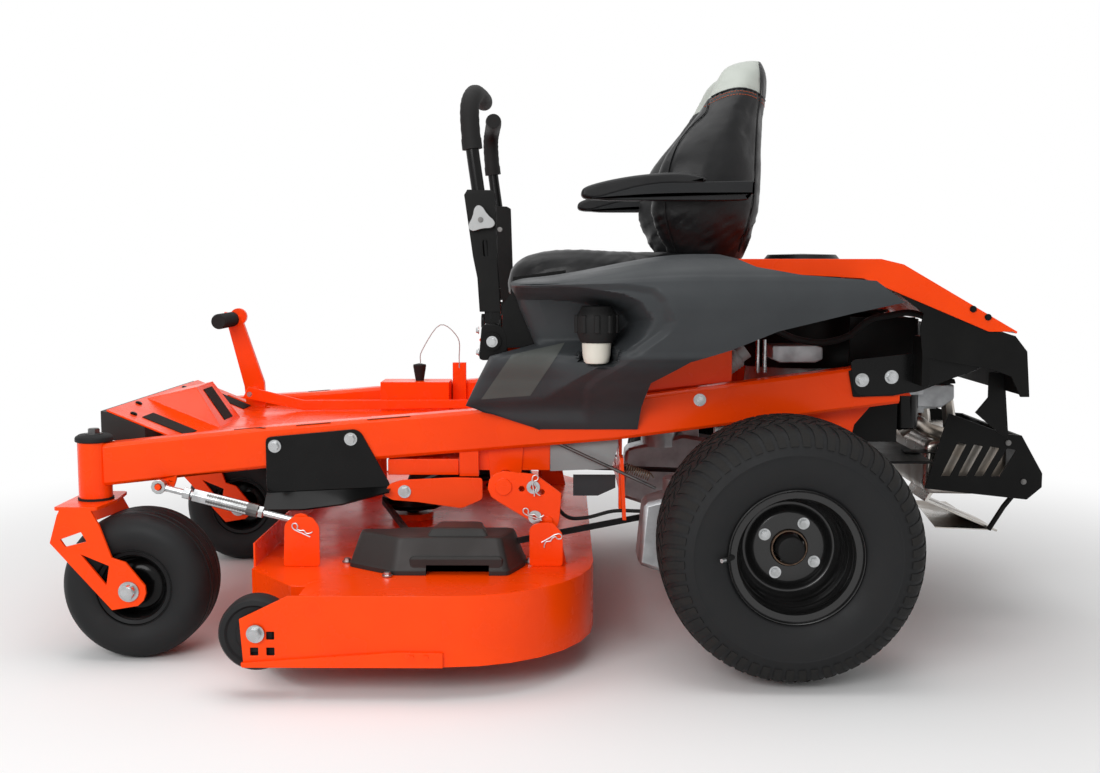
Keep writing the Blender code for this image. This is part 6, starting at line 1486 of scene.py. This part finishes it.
def make_engine_bay():
    opening = rounded([(-0.03, -0.20), (0.26, -0.20), (0.26, 0.20), (-0.03, 0.20)], 0.03)
    piece("engine_cowl", slab(opening, 0.6480, 0.6530, 0.0015, "Z"), "black_powder_coat", "chassis")
    edge = ((-0.118, 0.762, 0.452), (-0.098, 0.755, 0.508), (-0.068, 0.740, 0.548), (0.010, 0.726, 0.563), (0.137, 0.716, 0.570))
    rings = [[(x, -out + 0.002, z), (x, -0.434, z), (x, -0.434, z - 0.003), (x, -out + 0.002, z - 0.003)] for x, z, out in edge]
    for name, side in SIDES:
        piece(f"fender_shelf_{name}", mirrored(solid(rings), side), "fender_plastic", "chassis", (), 50)
    hose = [(0.000, 0.624), (0.021, 0.614), (0.058, 0.598), (0.110, 0.591), (0.161, 0.604), (0.201, 0.635), (0.242, 0.645), (0.283, 0.650), (0.320, 0.637), (0.345, 0.610)]
    line = smooth_route([(x, -0.262, z) for x, z in hose], 6)
    piece("fuel_hose", pipe(line, 0.0066, 14), "grip_rubber", "chassis", (), 60)
    carb = [(0.014, 0.556), (0.030, 0.549), (0.100, 0.549), (0.115, 0.556), (0.115, 0.580), (0.100, 0.585), (0.014, 0.583)]
    piece("intake_casting", soften(prism(carb, -0.245, -0.165, "Y"), 0.003, 30), "cast_aluminium", "chassis", (), 40)
    axis = [Vector((-0.090, -0.30, 0.545)), Vector((-0.046, -0.30, 0.578))]
    places = [axis[0].lerp(axis[1], k / 16) for k in range(17)]
    sizes = [0.0200 + 0.0014 * (k % 2) for k in range(11)] + [0.0150] * 6
    piece("line_filter", pipe(places, sizes, 28), "grey_panel", "chassis", (), 25)
    tubes = [pipe([(x, -0.25, 0.530), (x, -0.25, 0.596)], 0.0042, 12) for x in (-0.016, -0.002)]
    piece("intake_studs", merged(*tubes), "zinc_plate", "chassis", (), 60)
    filter_can = [(0, 0.4085), (0.0300, 0.4085), (0.0328, 0.4120), (0.0328, 0.4800), (0.0310, 0.4855), (0, 0.4855)]
    piece("oil_filter_can", revolve(filter_can, (0.295, -0.172, 0), "Z", 40), "gloss_black", "chassis", (), 35)
    head = [(0.331, 0.449), (0.384, 0.447), (0.411, 0.466), (0.410, 0.496), (0.331, 0.496)]
    cap = [(0.327, 0.496), (0.413, 0.498), (0.410, 0.508), (0.340, 0.508)]
    for name, side in SIDES:
        wall = sorted((side * 0.150, side * 0.075))
        piece(f"valve_cover_{name}", soften(prism(head, *wall, "Y"), 0.004, 30), "cast_aluminium", "chassis", (), 40)
        piece(f"valve_shield_{name}", soften(prism(cap, *wall, "Y"), 0.002, 30), "black_powder_coat", "chassis", (), 40)
        pipe_line = smooth_route([(0.300, side * 0.140, 0.398), (0.330, side * 0.148, 0.418), (0.357, side * 0.150, 0.402), (0.406, side * 0.140, 0.385)], 5)
        piece(f"exhaust_pipe_{name}", pipe(pipe_line, 0.0150, 20), "muffler_steel", "chassis", (), 60)
    far, near = ((0.404, 0.204), (0.477, 0.201)), ((0.385, 0.191), (0.499, 0.186))
    rings = []
    for end in (0, 1):
        (x0, z0), (x1, z1) = far[end], near[end]
        rings.append([(x0, 0.100, z0), (x1, -0.130, z1), (x1, -0.130, z1 - 0.002), (x0, 0.100, z0 - 0.002)])
    piece("exhaust_deflector", solid(rings), "muffler_steel", "chassis")
    strut = pipe([(0.548, -0.140, 0.268), (0.524, -0.140, 0.237), (0.497, -0.132, 0.186)], 0.0055, 10)
    piece("deflector_strut", strut, "black_powder_coat", "chassis", (), 60)
    shell = rounded([(0.348, 0.268), (0.470, 0.266), (0.520, 0.310), (0.520, 0.372), (0.480, 0.384), (0.348, 0.380)], 0.022, 5)
    piece("muffler_shell", slab(shell, -0.165, 0.165, 0.012), "muffler_steel", "chassis", (), 40)


# Camera, floor and light

def make_camera():
    """The photograph's place and lens, for a frame 1100 by 773."""
    data = bpy.data.cameras.new("camera")
    data.sensor_width = 36
    data.lens = 40.84
    camera = bpy.data.objects.new("camera", data)
    camera.location = (-0.020, -2.856, 0.752)
    camera.rotation_euler = (math.radians(84.26), 0, math.radians(0.56))
    bpy.context.scene.collection.objects.link(camera)
    bpy.context.scene.camera = camera


def seen_mask(tree):
    """1 for what the camera, a mirror or a glass sees, 0 for light that falls on things."""
    path = tree.nodes.new("ShaderNodeLightPath")
    first = tree.nodes.new("ShaderNodeMath")
    second = tree.nodes.new("ShaderNodeMath")
    for node in (first, second):
        node.operation = "MAXIMUM"
    tree.links.new(path.outputs["Is Camera Ray"], first.inputs[0])
    tree.links.new(path.outputs["Is Glossy Ray"], first.inputs[1])
    tree.links.new(first.outputs[0], second.inputs[0])
    tree.links.new(path.outputs["Is Transmission Ray"], second.inputs[1])
    return second.outputs[0]


def make_world():
    """Plain soft light all round, seen as a white background."""
    world = bpy.data.worlds.new("studio")
    bpy.context.scene.world = world
    world.use_nodes = True
    tree = world.node_tree
    back = tree.nodes["Background"]
    back.inputs["Color"].default_value = (1, 1, 1, 1)
    level = tree.nodes.new("ShaderNodeMapRange")
    level.inputs["To Min"].default_value = 0.50
    level.inputs["To Max"].default_value = 1.0
    tree.links.new(seen_mask(tree), level.inputs["Value"])
    tree.links.new(level.outputs["Result"], back.inputs["Strength"])


def make_floor():
    """A pale floor that keeps the shadow near the machine and fades to white further off."""
    mesh = bmesh.new()
    bmesh.ops.create_grid(mesh, x_segments=8, y_segments=8, size=30)
    bmesh.ops.translate(mesh, verts=mesh.verts, vec=(0, 0, -0.0005))
    data = bpy.data.meshes.new("floor")
    mesh.to_mesh(data)
    mesh.free()
    pale = bpy.data.materials.new("pale_floor")
    pale.use_nodes = True
    tree = pale.node_tree
    shader = tree.nodes["Principled BSDF"]
    shader.inputs["Base Color"].default_value = (0.88, 0.88, 0.88, 1)
    shader.inputs["Roughness"].default_value = 0.75
    shader.inputs["Specular IOR Level"].default_value = 0.2
    glow = tree.nodes.new("ShaderNodeEmission")
    glow.inputs["Strength"].default_value = 1.0
    place = tree.nodes.new("ShaderNodeTexCoord")
    away = tree.nodes.new("ShaderNodeVectorMath")
    away.operation = "LENGTH"
    fade = tree.nodes.new("ShaderNodeMapRange")
    fade.interpolation_type = "SMOOTHSTEP"
    fade.inputs["From Min"].default_value = 1.0
    fade.inputs["From Max"].default_value = 2.3
    far = tree.nodes.new("ShaderNodeMath")
    far.operation = "MULTIPLY"
    mix = tree.nodes.new("ShaderNodeMixShader")
    tree.links.new(place.outputs["Object"], away.inputs[0])
    tree.links.new(away.outputs["Value"], fade.inputs["Value"])
    tree.links.new(fade.outputs["Result"], far.inputs[0])
    tree.links.new(seen_mask(tree), far.inputs[1])
    tree.links.new(far.outputs[0], mix.inputs[0])
    tree.links.new(shader.outputs[0], mix.inputs[1])
    tree.links.new(glow.outputs[0], mix.inputs[2])
    tree.links.new(mix.outputs[0], tree.nodes["Material Output"].inputs["Surface"])
    data.materials.append(pale)
    floor = bpy.data.objects.new("floor", data)
    bpy.context.scene.collection.objects.link(floor)


def make_lamp(name, place, aim, size, power):
    data = bpy.data.lights.new(name, "AREA")
    data.shape = "RECTANGLE"
    data.size, data.size_y = size
    data.energy = power
    lamp = bpy.data.objects.new(name, data)
    lamp.location = place
    lamp.rotation_euler = (Vector(aim) - Vector(place)).to_track_quat("-Z", "Y").to_euler()
    bpy.context.scene.collection.objects.link(lamp)


def make_studio():
    bpy.context.scene.view_settings.view_transform = "Standard"
    make_camera()
    make_world()
    make_floor()
    make_lamp("overhead", (-0.3, -0.5, 3.0), (0, 0, 0.4), (3.0, 2.0), 38)
    make_lamp("near_side", (-1.2, -3.2, 1.7), (0, 0, 0.5), (2.0, 1.2), 48)


make_studio()

DRESSED = {
    "orange_enamel": ("frame_rail_left", "frame_rail_right", "front_cross_tube",
                      "deck_shell", "lift_shaft", "lift_pedal", "pedal_link", "seat_deck", "rear_cover",
                      "caster_fork_left", "caster_fork_right"),
    "black_powder_coat": ("lever_pivot_left", "lever_pivot_right", "seat_pan",
                          "muffler_guard", "engine_shroud"),
    "belt_cover_plastic": ("front_housing",),
    "cast_aluminium": ("transaxle_left", "transaxle_right", "engine_block"),
    "tyre_rubber": ("discharge_chute",),
    "gloss_black": ("engine_clutch",
                    "blade_spindle_left", "blade_spindle_centre", "blade_spindle_right"),
    "zinc_plate": ("front_link_left", "front_link_right"),
    "muffler_steel": ("muffler",),
}
for finish_name, nodes in DRESSED.items():
    for node_name in nodes:
        dress(node_name, finish_name)
make_rear_wheels()
make_casters()
make_seat()
make_armrests()
make_fenders()
make_levers()
make_frame_trim()
make_rear_plates()
make_side_steps()
make_under_frame()
make_deck_trim()
make_belt()
make_links()
make_footwell()
make_lanyard()
make_engine_bay()
